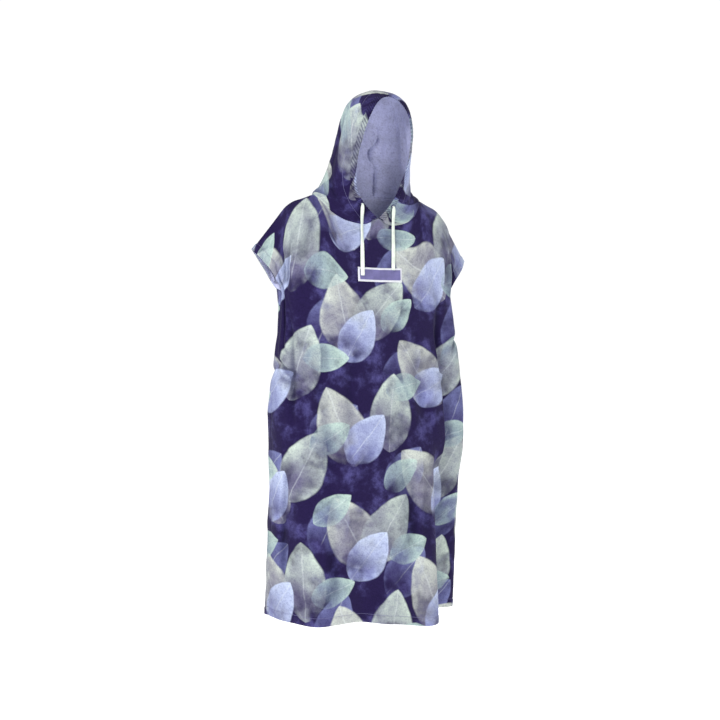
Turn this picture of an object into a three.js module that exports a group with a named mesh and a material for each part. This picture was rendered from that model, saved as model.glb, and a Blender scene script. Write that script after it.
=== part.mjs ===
// A hooded bath poncho of towelling, worn: a front and a back panel joined at the shoulders and sides,
// a hood in two halves, a gathered casing round the face, a drawcord with two free ends, and a patch.
// Millimetres, +Z up. The origin is the middle of the neck hole, level with the shoulders; the front faces -Y
// and the wearer's left is +X. "s" runs across a panel from the centre (0) to the side seam or cuff (1).

import * as THREE from "three";

// Driving dimensions
const WALL = 2.5; // towelling
const SEAM_GAP = 0.3; // between two pieces that are sewn together
const NECK_HALF_WIDTH = 155;
const NECK_FRONT_Y = -61;
const NECK_BACK_Y = 60;
const NECK_SHARE = 0.41; // the share of a panel's half width that the neck hole takes
const CASING_WIDTH = 16;
const CASING_THICKNESS = 6.4;
const GATHERED_THICKNESS = 4.2; // between two gathers
const CORD_WIDTH = 10.5;
const CORD_THICKNESS = 1.8;
const PATCH_THICKNESS = 1.2;
const TOWELLING = { color: 0x6f6f9d, roughness: 0.95, metalness: 0 };
const TAPE = { color: 0xd9e4d6, roughness: 0.8, metalness: 0 };

const RIGHT = -1; // the wearer's right
const LEFT = 1;
const DEGREE = Math.PI / 180;

const clamp = (x, low, high) => Math.min(high, Math.max(low, x));
const mix = (a, b, share) => a + (b - a) * share;
const smooth = (x) => clamp(x, 0, 1) ** 2 * (3 - 2 * clamp(x, 0, 1));
const vector = (p) => new THREE.Vector3(...p);

// A smooth curve through values at rising places, with no overshoot between them.
function through(places, values) {
  const gaps = places.slice(1).map((x, i) => x - places[i]);
  const slopes = gaps.map((gap, i) => (values[i + 1] - values[i]) / gap);
  const tangents = values.map((_, i) => {
    if (i === 0) return slopes[0];
    if (i === values.length - 1) return slopes[i - 1];
    if (slopes[i - 1] * slopes[i] <= 0) return 0;
    const before = 2 * gaps[i] + gaps[i - 1];
    const after = gaps[i] + 2 * gaps[i - 1];
    return (before + after) / (before / slopes[i - 1] + after / slopes[i]);
  });
  return (x) => {
    let i = 0;
    while (i < gaps.length - 1 && x > places[i + 1]) i += 1;
    const t = clamp((x - places[i]) / gaps[i], 0, 1);
    const back = 1 - t;
    return (
      values[i] * back * back * (1 + 2 * t) +
      values[i + 1] * t * t * (3 - 2 * t) +
      tangents[i] * gaps[i] * t * back * back -
      tangents[i + 1] * gaps[i] * t * t * back
    );
  };
}

// The same for points: one curve for each of x, y and z.
function throughPoints(places, points) {
  const axes = [0, 1, 2].map((k) => through(places, points.map((p) => p[k])));
  return (x) => axes.map((axis) => axis(x));
}

// The neck hole. alpha is the angle round it, from the centre front (0) to the centre back (180).
const NECK_HEIGHTS = {
  alpha: [0, 15, 30, 48, 62, 75, 90, 130, 180],
  z: [-57, -73, -67, -48, -24, -7, 3, 8, 9],
};
const neckHeight = through(NECK_HEIGHTS.alpha, NECK_HEIGHTS.z);
const NECK_MIDDLE_Y = (NECK_FRONT_Y + NECK_BACK_Y) / 2;
const NECK_HALF_DEPTH = (NECK_BACK_Y - NECK_FRONT_Y) / 2;

function neckPoint(alpha) {
  const x = NECK_HALF_WIDTH * Math.sin(alpha * DEGREE);
  return [x, NECK_MIDDLE_Y - NECK_HALF_DEPTH * Math.cos(alpha * DEGREE), neckHeight(alpha)];
}

// The shoulder seam from the neck to the sleeve's tip, which hangs lower on the left.
const SHOULDER_SEAM = {
  s: [0.41, 0.475, 0.545, 0.61, 0.66, 0.74, 0.87, 1],
  x: [155, 182, 207, 228, 243, 261, 288, 312],
  y: [-2, 2, 6, 9, 12, 15, 19, 24],
  z: [3, -8, -17, -32, -51, -75, -110, -141],
};
const TIP_DROP = { [RIGHT]: 0, [LEFT]: 9 };

const columns = (table, names) => table[names[0]].map((_, i) => names.map((name) => table[name][i]));
const seamLine = throughPoints(SHOULDER_SEAM.s, columns(SHOULDER_SEAM, ["x", "y", "z"]));

// Rows of each panel between the shoulder and the underarm, as points at the same stations across it: centre,
// chest, neck side, shoulder, the edge of the chest, the crease beside the sleeve, the sleeve and the cuff.
// "down" is how far a row lies below the shoulder seam, measured down the cloth.
const STATIONS = [0, 0.2, 0.41, 0.55, 0.65, 0.75, 0.87, 1];
const UPPER_ROWS = {
  front: [
    {
      down: 50,
      x: [0, 96, 154, 203, 234, 245, 271, 294],
      y: [-65, -63, -47, -36, -22, 0, 2, 6],
      z: [-107, -104, -52, -56, -74, -98, -134, -165],
    },
    {
      down: 100,
      x: [0, 94, 158, 206, 237, 236, 256, 271],
      y: [-69, -69, -59, -48, -32, 0, -5, -4],
      z: [-155, -152, -118, -120, -132, -148, -174, -194],
    },
    {
      down: 150,
      x: [0, 94, 160, 206, 236, 233, 245, 254],
      y: [-72, -72, -64, -53, -36, -4, -8, -5],
      z: [-204, -202, -184, -184, -188, -198, -213, -222],
    },
    {
      down: 200,
      x: [0, 93, 161, 203, 228, 237, 240, 239],
      y: [-75, -74, -67, -54, -40, -24, -10, 4],
      z: [-250, -250, -250, -250, -250, -250, -249, -248],
    },
  ],
  back: [
    {
      down: 50,
      x: [0, 100, 153, 202, 234, 247, 265, 282],
      y: [78, 76, 42, 44, 44, 43, 46, 42],
      z: [-44, -40, -30, -44, -68, -98, -138, -173],
    },
    {
      down: 100,
      x: [0, 98, 158, 206, 235, 240, 249, 257],
      y: [92, 90, 78, 72, 62, 50, 52, 48],
      z: [-104, -101, -92, -106, -125, -149, -179, -206],
    },
    {
      down: 150,
      x: [0, 96, 160, 206, 234, 235, 240, 244],
      y: [97, 95, 87, 77, 62, 44, 42, 36],
      z: [-172, -170, -166, -174, -183, -198, -217, -232],
    },
    {
      down: 200,
      x: [0, 95, 162, 203, 227, 235, 239, 239],
      y: [99, 97, 88, 74, 56, 34, 16, 4],
      z: [-250, -250, -250, -250, -250, -250, -249, -248],
    },
  ],
};

// The tube below the underarm: half width, depth to the front and back of the side seams, and their place.
const TUBE = {
  down: [282, 382, 512, 652, 852, 1022],
  z: [-330, -430, -560, -700, -900, -1070],
  halfWidth: [246, 257, 268, 263, 261, 257],
  front: [84, 98, 118, 137, 163, 188],
  back: [100, 106, 112, 117, 121, 118],
  seamY: [1, 3, 7, 11, 29, 49],
};
const CUT_LENGTH = TUBE.down[TUBE.down.length - 1];
const BOXINESS = 0.85; // under 1 the tube's sections are squarer than an ellipse

function tubePoint(row, face, s) {
  const turn = (s * Math.PI) / 2;
  const depth = face === "front" ? -TUBE.front[row] : TUBE.back[row];
  const across = Math.sin(turn) ** BOXINESS;
  const forward = s < 1 ? Math.cos(turn) ** BOXINESS : 0;
  return [TUBE.halfWidth[row] * across, TUBE.seamY[row] + depth * forward, TUBE.z[row]];
}

// The hem dips and lifts a little round each panel. side and s together say where.
const HEM_DROP = {
  front: {
    s: [-1, -0.85, -0.5, -0.2, 0, 0.25, 0.4, 0.5, 0.6, 0.7, 1],
    z: [10, 6, -1, 6, -5, -20, -12, 0, 4, 4, 4],
  },
  back: { s: [-1, -0.5, 0, 0.5, 1], z: [10, 4, 8, -3, 4] },
};
const HEM_DROP_FROM = 650; // down the cloth

// Folds: a trough (depth above 0) or a ridge (below 0) that runs down a panel, from one s to another.
// reach holds its half widths towards smaller and larger s, so a trough can be steep on one side.
const FOLDS = {
  front: [
    { name: "left side fold", from: 225, to: 690, s: [0.46, 0.52], depth: [12, 34], reach: [0.07, 0.2] },
    { name: "left side crest", from: 190, to: 700, s: [0.76, 0.8], depth: [-13, -12], reach: [0.16, 0.14] },
    { name: "left front fold", from: 560, to: 1200, s: [0.39, 0.46], depth: [26, 74], reach: [0.13, 0.3] },
    { name: "left front crest", from: 560, to: 1200, s: [0.2, 0.28], depth: [-3, -9], reach: [0.14, 0.09] },
    { name: "right breast", from: 300, to: 660, s: [-0.4, -0.47], depth: [6, 7], reach: [0.13, 0.09] },
    { name: "left breast", from: 280, to: 600, s: [0.2, 0.24], depth: [5, 7], reach: [0.08, 0.11] },
    { name: "hem wave", from: 720, to: 1200, s: [-0.12, -0.16], depth: [5, 15], reach: [0.18, 0.18] },
    { name: "right hem crest", from: 620, to: 1200, s: [-0.42, -0.46], depth: [-4, -9], reach: [0.18, 0.16] },
    { name: "right side trough", from: 560, to: 1100, s: [-0.74, -0.72], depth: [3, 5], reach: [0.13, 0.13] },
    { name: "right underarm", from: 190, to: 430, s: [-0.72, -0.8], depth: [4, 4], reach: [0.09, 0.09] },
  ],
  back: [
    { name: "right blade", from: 120, to: 1200, s: [-0.34, -0.46], depth: [5, 24], reach: [0.12, 0.14] },
    { name: "centre back", from: 240, to: 1200, s: [-0.02, 0.04], depth: [6, 20], reach: [0.14, 0.12] },
    { name: "left blade", from: 150, to: 1200, s: [0.38, 0.46], depth: [5, 26], reach: [0.13, 0.12] },
    { name: "right side", from: 260, to: 1200, s: [-0.78, -0.8], depth: [6, 8], reach: [0.1, 0.11] },
    { name: "left side", from: 220, to: 1000, s: [0.76, 0.82], depth: [12, 12], reach: [0.1, 0.1] },
    { name: "right crest", from: 500, to: 1200, s: [-0.62, -0.63], depth: [-3, -8], reach: [0.08, 0.08] },
    { name: "left crest", from: 500, to: 1200, s: [0.62, 0.64], depth: [-3, -9], reach: [0.08, 0.08] },
  ],
};
const FOLD_FADE = 110; // a fold deepens and ends over this length

// A dent where the cloth breaks over the hip, at the right side seam.
const HIP_BREAK = { down: 388, depth: 9, across: 0.12, along: 26 };

function hipBreak(side, out, down) {
  if (side !== RIGHT) return 0;
  const away = ((1 - out) / HIP_BREAK.across) ** 2 + ((down - HIP_BREAK.down) / HIP_BREAK.along) ** 2;
  return HIP_BREAK.depth * Math.exp(-away);
}

function foldDepth(face, s, down) {
  let depth = 0;
  for (const fold of FOLDS[face]) {
    const share = clamp((down - fold.from) / (Math.min(fold.to, CUT_LENGTH) - fold.from), 0, 1);
    const offset = s - mix(fold.s[0], fold.s[1], share);
    const reach = offset < 0 ? fold.reach[0] : fold.reach[1];
    const across = Math.abs(offset) < reach ? Math.cos((offset / reach) * (Math.PI / 2)) ** 2 : 0;
    const along = smooth((down - fold.from) / FOLD_FADE) * smooth((fold.to - down) / FOLD_FADE);
    depth += across * along * mix(fold.depth[0], fold.depth[1], share);
  }
  return depth * smooth((1 - Math.abs(s)) / 0.06);
}

// Both panels meet in one side seam, from the underarm down.
const lastRow = UPPER_ROWS.front.at(-1);
const underarm = [lastRow.x.at(-1), lastRow.y.at(-1), lastRow.z.at(-1)];
const UNDERARM_DOWN = 200;
const sideSeam = throughPoints(
  [UNDERARM_DOWN, ...TUBE.down],
  [underarm, ...TUBE.down.map((_, row) => tubePoint(row, "front", 1))],
);

// A point of a panel's smooth outside, before its folds.
function panelPoint(face, s, down) {
  const side = s < 0 ? RIGHT : LEFT;
  const out = Math.abs(s);
  const neckAlpha = (out / NECK_SHARE) * 90;
  const top = (share) =>
    share <= NECK_SHARE ? neckPoint(face === "front" ? neckAlpha : 180 - neckAlpha) : seamLine(share);
  const downs = [0, ...UPPER_ROWS[face].map((row) => row.down), ...TUBE.down];
  const line = (share) =>
    throughPoints(downs, [
      top(share),
      ...UPPER_ROWS[face].map((row) => throughPoints(STATIONS, columns(row, ["x", "y", "z"]))(share)),
      ...TUBE.down.map((_, row) => tubePoint(row, face, share)),
    ])(down);
  let point = line(out);
  if (down > UNDERARM_DOWN) {
    const seam = sideSeam(down);
    const own = line(1);
    point = point.map((value, k) => value + (seam[k] - own[k]) * smooth((out - 0.8) / 0.2));
  }
  const [x, y, z] = point;
  const sleeve = smooth((out - 0.55) / 0.45) * smooth((UNDERARM_DOWN - down) / UNDERARM_DOWN);
  const drop = HEM_DROP[face];
  const hem = through(drop.s, drop.z)(s) * smooth((down - HEM_DROP_FROM) / (CUT_LENGTH - HEM_DROP_FROM));
  return [side * (x - hipBreak(side, out, down)), y, z - TIP_DROP[side] * sleeve + hem];
}

// A grid of points with a normal at each, from differences with its neighbours.
function gridNormals(grid, flip) {
  const rows = grid.length;
  const count = grid[0].length;
  return grid.map((row, j) =>
    row.map((_, i) => {
      const along = grid[j][Math.min(i + 1, count - 1)].clone().sub(grid[j][Math.max(i - 1, 0)]);
      const down = grid[Math.min(j + 1, rows - 1)][i].clone().sub(grid[Math.max(j - 1, 0)][i]);
      return along.cross(down).normalize().multiplyScalar(flip ? -1 : 1);
    }),
  );
}

// A point on the outside of a panel with its folds, and the way out from it.
function cloth(face, s, down) {
  const step = { s: 0.004, down: 2 };
  const at = (ds, dd) => vector(panelPoint(face, clamp(s + ds, -1, 1), clamp(down + dd, 0, CUT_LENGTH)));
  const along = at(step.s, 0).sub(at(-step.s, 0));
  const fall = at(0, step.down).sub(at(0, -step.down));
  const normal = along.cross(fall).normalize().multiplyScalar(face === "front" ? -1 : 1);
  return { point: at(0, 0).addScaledVector(normal, -foldDepth(face, s, down)), normal };
}

const panelGrid = (face, across, downs) => downs.map((down) => across.map((s) => cloth(face, s, down).point));

// The hood, one row for each level from the neck up to the crown. At each level the cloth runs from the face
// (faceY, faceZ) round the side, halfWidth out, to the back seam (backY, backZ). turn is how far round from
// the back it goes, in degrees, and lift is how far it arches above a straight line between its ends.
const HOOD = {
  faceY: [-61, -59, -57, -58, -67, -82, -98, -113, -122, -126, -125, -121, -118],
  faceZ: [-57, -38, -16, 8, 38, 74, 110, 146, 180, 206, 226, 239, 244],
  backY: [60, 62, 65, 67, 68, 67, 64, 58, 48, 35, 23, 15, 11],
  backZ: [9, 17, 28, 43, 67, 99, 129, 158, 184, 205, 221, 231, 235],
  halfWidth: [155, 147, 138, 129, 119, 109, 101, 95, 89, 80, 63, 35, 0],
  turn: [179.94, 171.8, 163, 154.8, 147, 139.4, 134.5, 134.3, 138, 143, 147, 151, 152],
  lift: [0, 0, 0, 0, 0, 2, 5, 9, 15, 20, 24, 27, 28],
};
const LEVELS = HOOD.turn.map((_, k) => k / (HOOD.turn.length - 1));
const hoodAt = Object.fromEntries(
  Object.entries(HOOD).map(([name, values]) => [name, through(LEVELS, values)]),
);
const NECK_BLEND = 0.3; // the hood takes the neck hole's shape below this level

// A point of the hood's right or left half: round is 0 at the face and 1 at the back seam, level 0 to 1.
function hoodPoint(side, round, level) {
  const arc = (v) => {
    const turn = hoodAt.turn(v) * DEGREE;
    const angle = turn * (1 - round);
    const share = (Math.cos(angle) - Math.cos(turn)) / (1 - Math.cos(turn));
    const z = mix(hoodAt.faceZ(v), hoodAt.backZ(v), share) + hoodAt.lift(v) * 4 * share * (1 - share);
    return [hoodAt.halfWidth(v) * Math.sin(angle), mix(hoodAt.faceY(v), hoodAt.backY(v), share), z];
  };
  const neck = neckPoint(180 - HOOD.turn[0] * (1 - round));
  const lowest = arc(0);
  const blend = 1 - smooth(level / NECK_BLEND);
  const [x, y, z] = arc(level).map((value, k) => value + (neck[k] - lowest[k]) * blend);
  return vector([side * x, y, z]);
}

// How far round a level the casing reaches: the share whose length from the face is the casing's width.
function roundAtLength(side, level, length) {
  const step = 0.002;
  let last = hoodPoint(side, 0, level);
  let passed = 0;
  for (let round = step; round < 0.5; round += step) {
    const next = hoodPoint(side, round, level);
    passed += next.distanceTo(last);
    if (passed >= length) return round;
    last = next;
  }
  return 0.5;
}

const HOOD_NECK_ANGLES = [7, 17, 28, 43, 58, 74, 90, 106, 122, 138, 152, 166, 180];
const HOOD_LEVELS = 18;

const HOOD_ROUNDS = HOOD_NECK_ANGLES.map((alpha) => 1 - (180 - alpha) / HOOD.turn[0]);

// Where the hood's edge lies behind the casing, as a share of the way round.
function hoodStart(side, level) {
  return level === 0 ? HOOD_ROUNDS[0] : roundAtLength(side, level, CASING_WIDTH + SEAM_GAP);
}

function hoodGrid(side) {
  const [first] = HOOD_ROUNDS;
  return Array.from({ length: HOOD_LEVELS + 1 }, (_, j) => {
    const level = j / HOOD_LEVELS;
    const start = hoodStart(side, level);
    return HOOD_ROUNDS.map((round) => hoodPoint(side, mix(start, 1, (round - first) / (1 - first)), level));
  });
}

// Cloth walls. Pieces that are sewn together share their edge points, so the thickness there follows the mean
// of their normals, and each edge then draws back by half the seam gap.
const PLACES_PER_MM = 50;
const keyOf = (p) => p.toArray().map((x) => Math.round(x * PLACES_PER_MM)).join(",");

class Wall {
  constructor(name, grid, flip, finish) {
    Object.assign(this, { name, grid, finish, flip, normals: gridNormals(grid, flip) });
    this.last = { row: grid.length - 1, column: grid[0].length - 1 };
  }

  onEdge(j, i) {
    return j === 0 || i === 0 || j === this.last.row || i === this.last.column;
  }

  forEachPoint(visit) {
    this.grid.forEach((row, j) => row.forEach((point, i) => visit(point, j, i)));
  }

  addTo(seams) {
    this.forEachPoint((point, j, i) => {
      if (!this.onEdge(j, i)) return;
      const key = keyOf(point);
      if (!seams.has(key)) seams.set(key, []);
      seams.get(key).push(this.normals[j][i]);
    });
  }

  // The way from an edge point into the cloth, square to the seam and to its mean normal.
  inward(j, i, normal) {
    const way = new THREE.Vector3();
    const { row, column } = this.last;
    const toward = [
      [j === 0, 1, 0],
      [j === row, -1, 0],
      [i === 0, 0, 1],
      [i === column, 0, -1],
    ];
    for (const [applies, dj, di] of toward) {
      if (!applies) continue;
      const inner = this.grid[j + dj][i + di].clone().sub(this.grid[j][i]);
      const [j0, i0] = di ? [Math.max(j - 1, 0), i] : [j, Math.max(i - 1, 0)];
      const [j1, i1] = di ? [Math.min(j + 1, row), i] : [j, Math.min(i + 1, column)];
      const along = this.grid[j1][i1].clone().sub(this.grid[j0][i0]).normalize();
      const square = along.cross(normal).normalize();
      way.addScaledVector(square, Math.sign(square.dot(inner)));
    }
    return way;
  }

  mesh(seams) {
    const outer = [];
    const inner = [];
    this.forEachPoint((point, j, i) => {
      const own = this.normals[j][i];
      const met = (this.onEdge(j, i) && seams.get(keyOf(point))) || [own];
      const normal = met.reduce((sum, n) => sum.add(n), new THREE.Vector3()).normalize();
      const agree = met.reduce((sum, n) => sum + n.dot(normal), 0) / met.length;
      const outside = point.clone();
      if (met.length > 1) outside.addScaledVector(this.inward(j, i, normal), SEAM_GAP / 2);
      outer.push(outside);
      inner.push(outside.clone().addScaledVector(normal, -WALL / Math.max(agree, 0.5)));
    });
    return closedMesh(this.name, outer, inner, this.grid[0].length, this.flip, this.finish);
  }
}

// A closed mesh from two grids of points, outer and inner, each with so many points to a row.
function closedMesh(name, outer, inner, count, flip, finish) {
  const rows = outer.length / count;
  const size = outer.length;
  const faces = [];
  const quad = (a, b, c, d) => faces.push(...(flip ? [a, b, c, a, c, d] : [a, c, b, a, d, c]));
  for (let j = 0; j < rows - 1; j += 1) {
    for (let i = 0; i < count - 1; i += 1) {
      const at = j * count + i;
      quad(at, at + count, at + count + 1, at + 1);
      quad(size + at, size + at + 1, size + at + count + 1, size + at + count);
    }
  }
  const rim = [];
  for (let i = 0; i < count - 1; i += 1) rim.push([i, i + 1]);
  for (let j = 0; j < rows - 1; j += 1) rim.push([(j + 1) * count - 1, (j + 2) * count - 1]);
  for (let i = count - 1; i > 0; i -= 1) rim.push([(rows - 1) * count + i, (rows - 1) * count + i - 1]);
  for (let j = rows - 1; j > 0; j -= 1) rim.push([j * count, (j - 1) * count]);
  for (const [a, b] of rim) quad(a, b, size + b, size + a);
  const geometry = new THREE.BufferGeometry().setFromPoints([...outer, ...inner]);
  geometry.setIndex(faces);
  geometry.computeVertexNormals();
  return named(name, geometry, finish);
}

function named(name, geometry, finish) {
  const mesh = new THREE.Mesh(geometry, new THREE.MeshStandardMaterial(finish));
  mesh.name = name;
  return mesh;
}

// Lists of s across a panel and of lengths down it, finer where it is worn on the shoulders.
const neckShares = (angles) => angles.map((alpha) => (alpha / 90) * NECK_SHARE);
const FRONT_NECK_ANGLES = HOOD_NECK_ANGLES.filter((alpha) => alpha < 90);
const BACK_NECK_ANGLES = HOOD_NECK_ANGLES.filter((alpha) => alpha > 90 && alpha < 180).map(
  (alpha) => 180 - alpha,
);
const OUTER_SHARES = [0.41, 0.46, 0.51, 0.56, 0.61, 0.655, 0.7, 0.75, 0.81, 0.87, 0.935, 1];
const DOWNS = [
  0, 25, 50, 75, 100, 130, 148, 166, 183, 200, 232, 268, 310, 350, 388, 430, 480, 530, 585, 640, 695, 750,
  805, 860, 915, 970, CUT_LENGTH,
];

function acrossBothSides(neckAngles) {
  const half = [...neckShares(neckAngles).sort((a, b) => a - b), ...OUTER_SHARES];
  return [...half.map((s) => -s).reverse(), 0, ...half];
}

const FRONT_SHARES = acrossBothSides(FRONT_NECK_ANGLES);
const BACK_SHARES = acrossBothSides(BACK_NECK_ANGLES);

// The patch lies on the front panel's own points, moved out.
const PATCH = { share: (28 / 90) * NECK_SHARE, downs: [130, 148, 166] };

function patchMesh(front) {
  const columnsInside = FRONT_SHARES.map((_, i) => i).filter(
    (i) => Math.abs(FRONT_SHARES[i]) <= PATCH.share + 1e-9,
  );
  const rowsInside = PATCH.downs.map((down) => DOWNS.indexOf(down));
  const raised = (height) =>
    rowsInside.flatMap((j) =>
      columnsInside.map((i) => front.grid[j][i].clone().addScaledVector(front.normals[j][i], height)),
    );
  const outer = raised(SEAM_GAP + PATCH_THICKNESS);
  return closedMesh("patch", outer, raised(SEAM_GAP), columnsInside.length, true, TAPE);
}

// The casing follows the hood's edge, row by row: its middle, its way forward, its width and its normal.
function casingRow(side, j) {
  const level = j / HOOD_LEVELS;
  const face = hoodPoint(side, 0, level);
  const behind = hoodPoint(side, hoodStart(side, level), level);
  const step = 0.004;
  const higher = Math.min(level + step, 1);
  const lower = Math.max(higher - 2 * step, 0);
  const along = hoodPoint(side, 0, higher).sub(hoodPoint(side, 0, lower)).normalize();
  const forward = face.clone().sub(behind).normalize();
  const normal = along.cross(forward).normalize().multiplyScalar(side);
  return { face, behind: behind.addScaledVector(forward, SEAM_GAP), normal };
}

const RINGS_A_ROW = 5;
const FIRST_RING = 1; // just clear of the neck seam
const CASING_SECTION = [
  [1, 0],
  [0.5, 1],
  [-0.5, 1],
  [-1, 0],
  [-0.5, -1],
  [0.5, -1],
]; // shares of half its width and of half its thickness

function casingFrame(side, ring) {
  const j = Math.min(Math.floor(ring / RINGS_A_ROW), HOOD_LEVELS - 1);
  const share = ring / RINGS_A_ROW - j;
  const [low, high] = [casingRow(side, j), casingRow(side, j + 1)];
  const face = low.face.lerp(high.face, share);
  const behind = low.behind.lerp(high.behind, share);
  const normal = low.normal.lerp(high.normal, share).normalize();
  const forward = face.clone().sub(behind);
  const width = forward.length();
  return { middle: face.add(behind).multiplyScalar(0.5), width, forward: forward.normalize(), normal };
}

// A section extruded straight up in so many steps and then bent: place(share, x, y) says where each point
// goes, share being how far up it lies, from 0 to 1.
function bentExtrusion(name, outline, steps, place, finish) {
  const section = new THREE.Shape(outline.map((p) => new THREE.Vector2(...p)));
  const geometry = new THREE.ExtrudeGeometry(section, { depth: 1, steps, bevelEnabled: false });
  const { position } = geometry.attributes;
  for (let i = 0; i < position.count; i += 1) {
    const { x, y, z } = place(position.getZ(i), position.getX(i), position.getY(i));
    position.setXYZ(i, x, y, z);
  }
  geometry.computeVertexNormals();
  return named(name, geometry, finish);
}

// One side of the casing: a flat hexagon bent along the hood's edge. Its steps are alternately full and drawn
// in, which are its gathers.
function casingMesh(side) {
  const lastRing = HOOD_LEVELS * RINGS_A_ROW;
  const steps = lastRing - FIRST_RING;
  const place = (share, across, out) => {
    const ring = FIRST_RING + Math.round(share * steps);
    const { middle, width, forward, normal } = casingFrame(side, ring);
    const thickness = ring % 2 ? CASING_THICKNESS : GATHERED_THICKNESS;
    middle.addScaledVector(forward, (side * across * width) / 2);
    middle.addScaledVector(normal, (out * thickness) / 2);
    if (ring === lastRing) middle.x = (side * SEAM_GAP) / 2;
    return middle;
  };
  const name = side === RIGHT ? "casing_right" : "casing_left";
  return bentExtrusion(name, CASING_SECTION, steps, place, TOWELLING);
}

// The drawcord comes out of the casing low down on each side and hangs over the chest, a flat tape that turns
// as it falls. Its route runs down the middle of the tape, from the casing to its free end, and turn says how
// far its broad face is turned from the cloth, in degrees, at even shares of its length.
const CORD = {
  [RIGHT]: {
    route: [
      [-45.8, -60.5, -21.9],
      [-46.0, -63.0, -22.3],
      [-46.3, -64.8, -24.0],
      [-46.7, -65.4, -28.0],
      [-47.2, -65.3, -36.0],
      [-47.8, -65.0, -47.0],
      [-48.4, -64.9, -60.0],
      [-48.9, -65.4, -74.0],
      [-49.4, -66.6, -88.0],
      [-49.9, -68.2, -102.0],
      [-50.3, -69.8, -117.0],
      [-50.7, -71.1, -132.0],
      [-51.0, -72.1, -147.0],
      [-51.3, -72.8, -161.0],
      [-51.4, -73.4, -174.0],
      [-51.5, -74.1, -186.0],
      [-51.5, -74.7, -196.0],
      [-51.5, -75.1, -204.0],
    ],
    turn: [0, -24, -28, -18, -8, -2, 0, 0],
  },
  [LEFT]: {
    route: [
      [43.7, -60.7, -24.5],
      [43.8, -63.2, -24.9],
      [43.8, -65.0, -26.6],
      [43.6, -65.6, -30.5],
      [43.2, -65.5, -38.0],
      [42.7, -65.2, -48.0],
      [42.1, -65.1, -60.0],
      [41.5, -65.5, -73.0],
      [40.9, -66.6, -87.0],
      [40.3, -68.2, -101.0],
      [39.7, -69.8, -115.0],
      [39.1, -71.2, -129.0],
      [38.5, -72.2, -143.0],
      [38.0, -72.9, -156.0],
      [37.6, -73.4, -168.0],
      [37.3, -73.9, -178.0],
      [37.0, -74.5, -188.0],
    ],
    turn: [0, -26, -30, -18, -10, -8, -8, -8],
  },
};
const CORD_STEPS = 22;
const CORD_SECTION = [
  [0.5, 0.25],
  [0.42, 0.5],
  [-0.42, 0.5],
  [-0.5, 0.25],
  [-0.5, -0.25],
  [-0.42, -0.5],
  [0.42, -0.5],
  [0.5, -0.25],
]; // shares of its width and of its thickness

function cordMesh(side) {
  const { route, turn } = CORD[side];
  const line = new THREE.CatmullRomCurve3(route.map(vector));
  const turnAt = through(turn.map((_, k) => k / (turn.length - 1)), turn);
  const place = (share, wide, thick) => {
    const tangent = line.getTangentAt(share);
    const across = new THREE.Vector3(1, 0, 0).addScaledVector(tangent, -tangent.x).normalize();
    across.applyAxisAngle(tangent, turnAt(share) * DEGREE);
    const out = tangent.clone().cross(across);
    const middle = line.getPointAt(share);
    return middle.addScaledVector(across, wide * CORD_WIDTH).addScaledVector(out, thick * CORD_THICKNESS);
  };
  return bentExtrusion(`cord_${side === RIGHT ? "right" : "left"}`, CORD_SECTION, CORD_STEPS, place, TAPE);
}

const front = new Wall("front_panel", panelGrid("front", FRONT_SHARES, DOWNS), true, TOWELLING);
const back = new Wall("back_panel", panelGrid("back", BACK_SHARES, DOWNS), false, TOWELLING);
const hoodRight = new Wall("hood_right", hoodGrid(RIGHT), true, TOWELLING);
const hoodLeft = new Wall("hood_left", hoodGrid(LEFT), false, TOWELLING);
const walls = [front, back, hoodRight, hoodLeft];
const seams = new Map();
walls.forEach((wall) => wall.addTo(seams));

const poncho = new THREE.Group();
poncho.add(...walls.map((wall) => wall.mesh(seams)));
poncho.add(patchMesh(front));
for (const side of [RIGHT, LEFT]) poncho.add(casingMesh(side), cordMesh(side));

export default poncho;
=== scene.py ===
"""A hooded changing poncho of printed towelling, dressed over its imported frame.

The tables are in millimetres, as in the part's source, and every mesh is made in metres. The front faces
-Y, the wearer's left is +X and the origin lies between the shoulders. "s" runs across a panel from its
centre (0) to the side seam or cuff (1 or -1), and "down" is a length down the cloth.
"""

import logging
import math
from collections import defaultdict
from dataclasses import dataclass, field
from enum import Enum

import bpy
import numpy as np
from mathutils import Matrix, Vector


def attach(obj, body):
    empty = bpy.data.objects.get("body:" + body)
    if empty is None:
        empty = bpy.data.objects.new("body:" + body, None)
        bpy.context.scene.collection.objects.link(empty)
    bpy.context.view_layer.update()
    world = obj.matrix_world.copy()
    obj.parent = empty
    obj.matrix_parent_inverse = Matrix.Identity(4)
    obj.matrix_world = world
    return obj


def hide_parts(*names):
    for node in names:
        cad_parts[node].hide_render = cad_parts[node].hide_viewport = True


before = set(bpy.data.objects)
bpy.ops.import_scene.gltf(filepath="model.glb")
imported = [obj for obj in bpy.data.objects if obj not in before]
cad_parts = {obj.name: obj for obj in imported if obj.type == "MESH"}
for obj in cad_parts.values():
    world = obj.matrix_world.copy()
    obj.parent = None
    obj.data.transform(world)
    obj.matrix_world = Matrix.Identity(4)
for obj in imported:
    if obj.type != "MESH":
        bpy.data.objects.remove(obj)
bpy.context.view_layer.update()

LOG = logging.getLogger("poncho")
MM = 0.001

HOOD_PRINT = (0.2, 0.1)  # where the print starts on the hood and its casing, in metres
LOOP = 0.0012  # the size of a printed loop, in metres
GATHERS = 45  # gathers of the casing, on each side

Grid = np.ndarray
Socket = bpy.types.NodeSocket
Colour = tuple[float, float, float, float]
Point = tuple[float, float, float]


class Side(Enum):
    """The wearer's sides, as signs of X."""

    RIGHT = -1
    LEFT = 1


class Face(Enum):
    """The two body panels."""

    FRONT = "front"
    BACK = "back"


class Finish(Enum):
    """The record's material slots."""

    TOWELLING = "printed_towelling"
    CASING = "casing_towelling"
    TAPE = "cord_tape"
    PATCH = "patch_cloth"


# Numbers and curves


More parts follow.
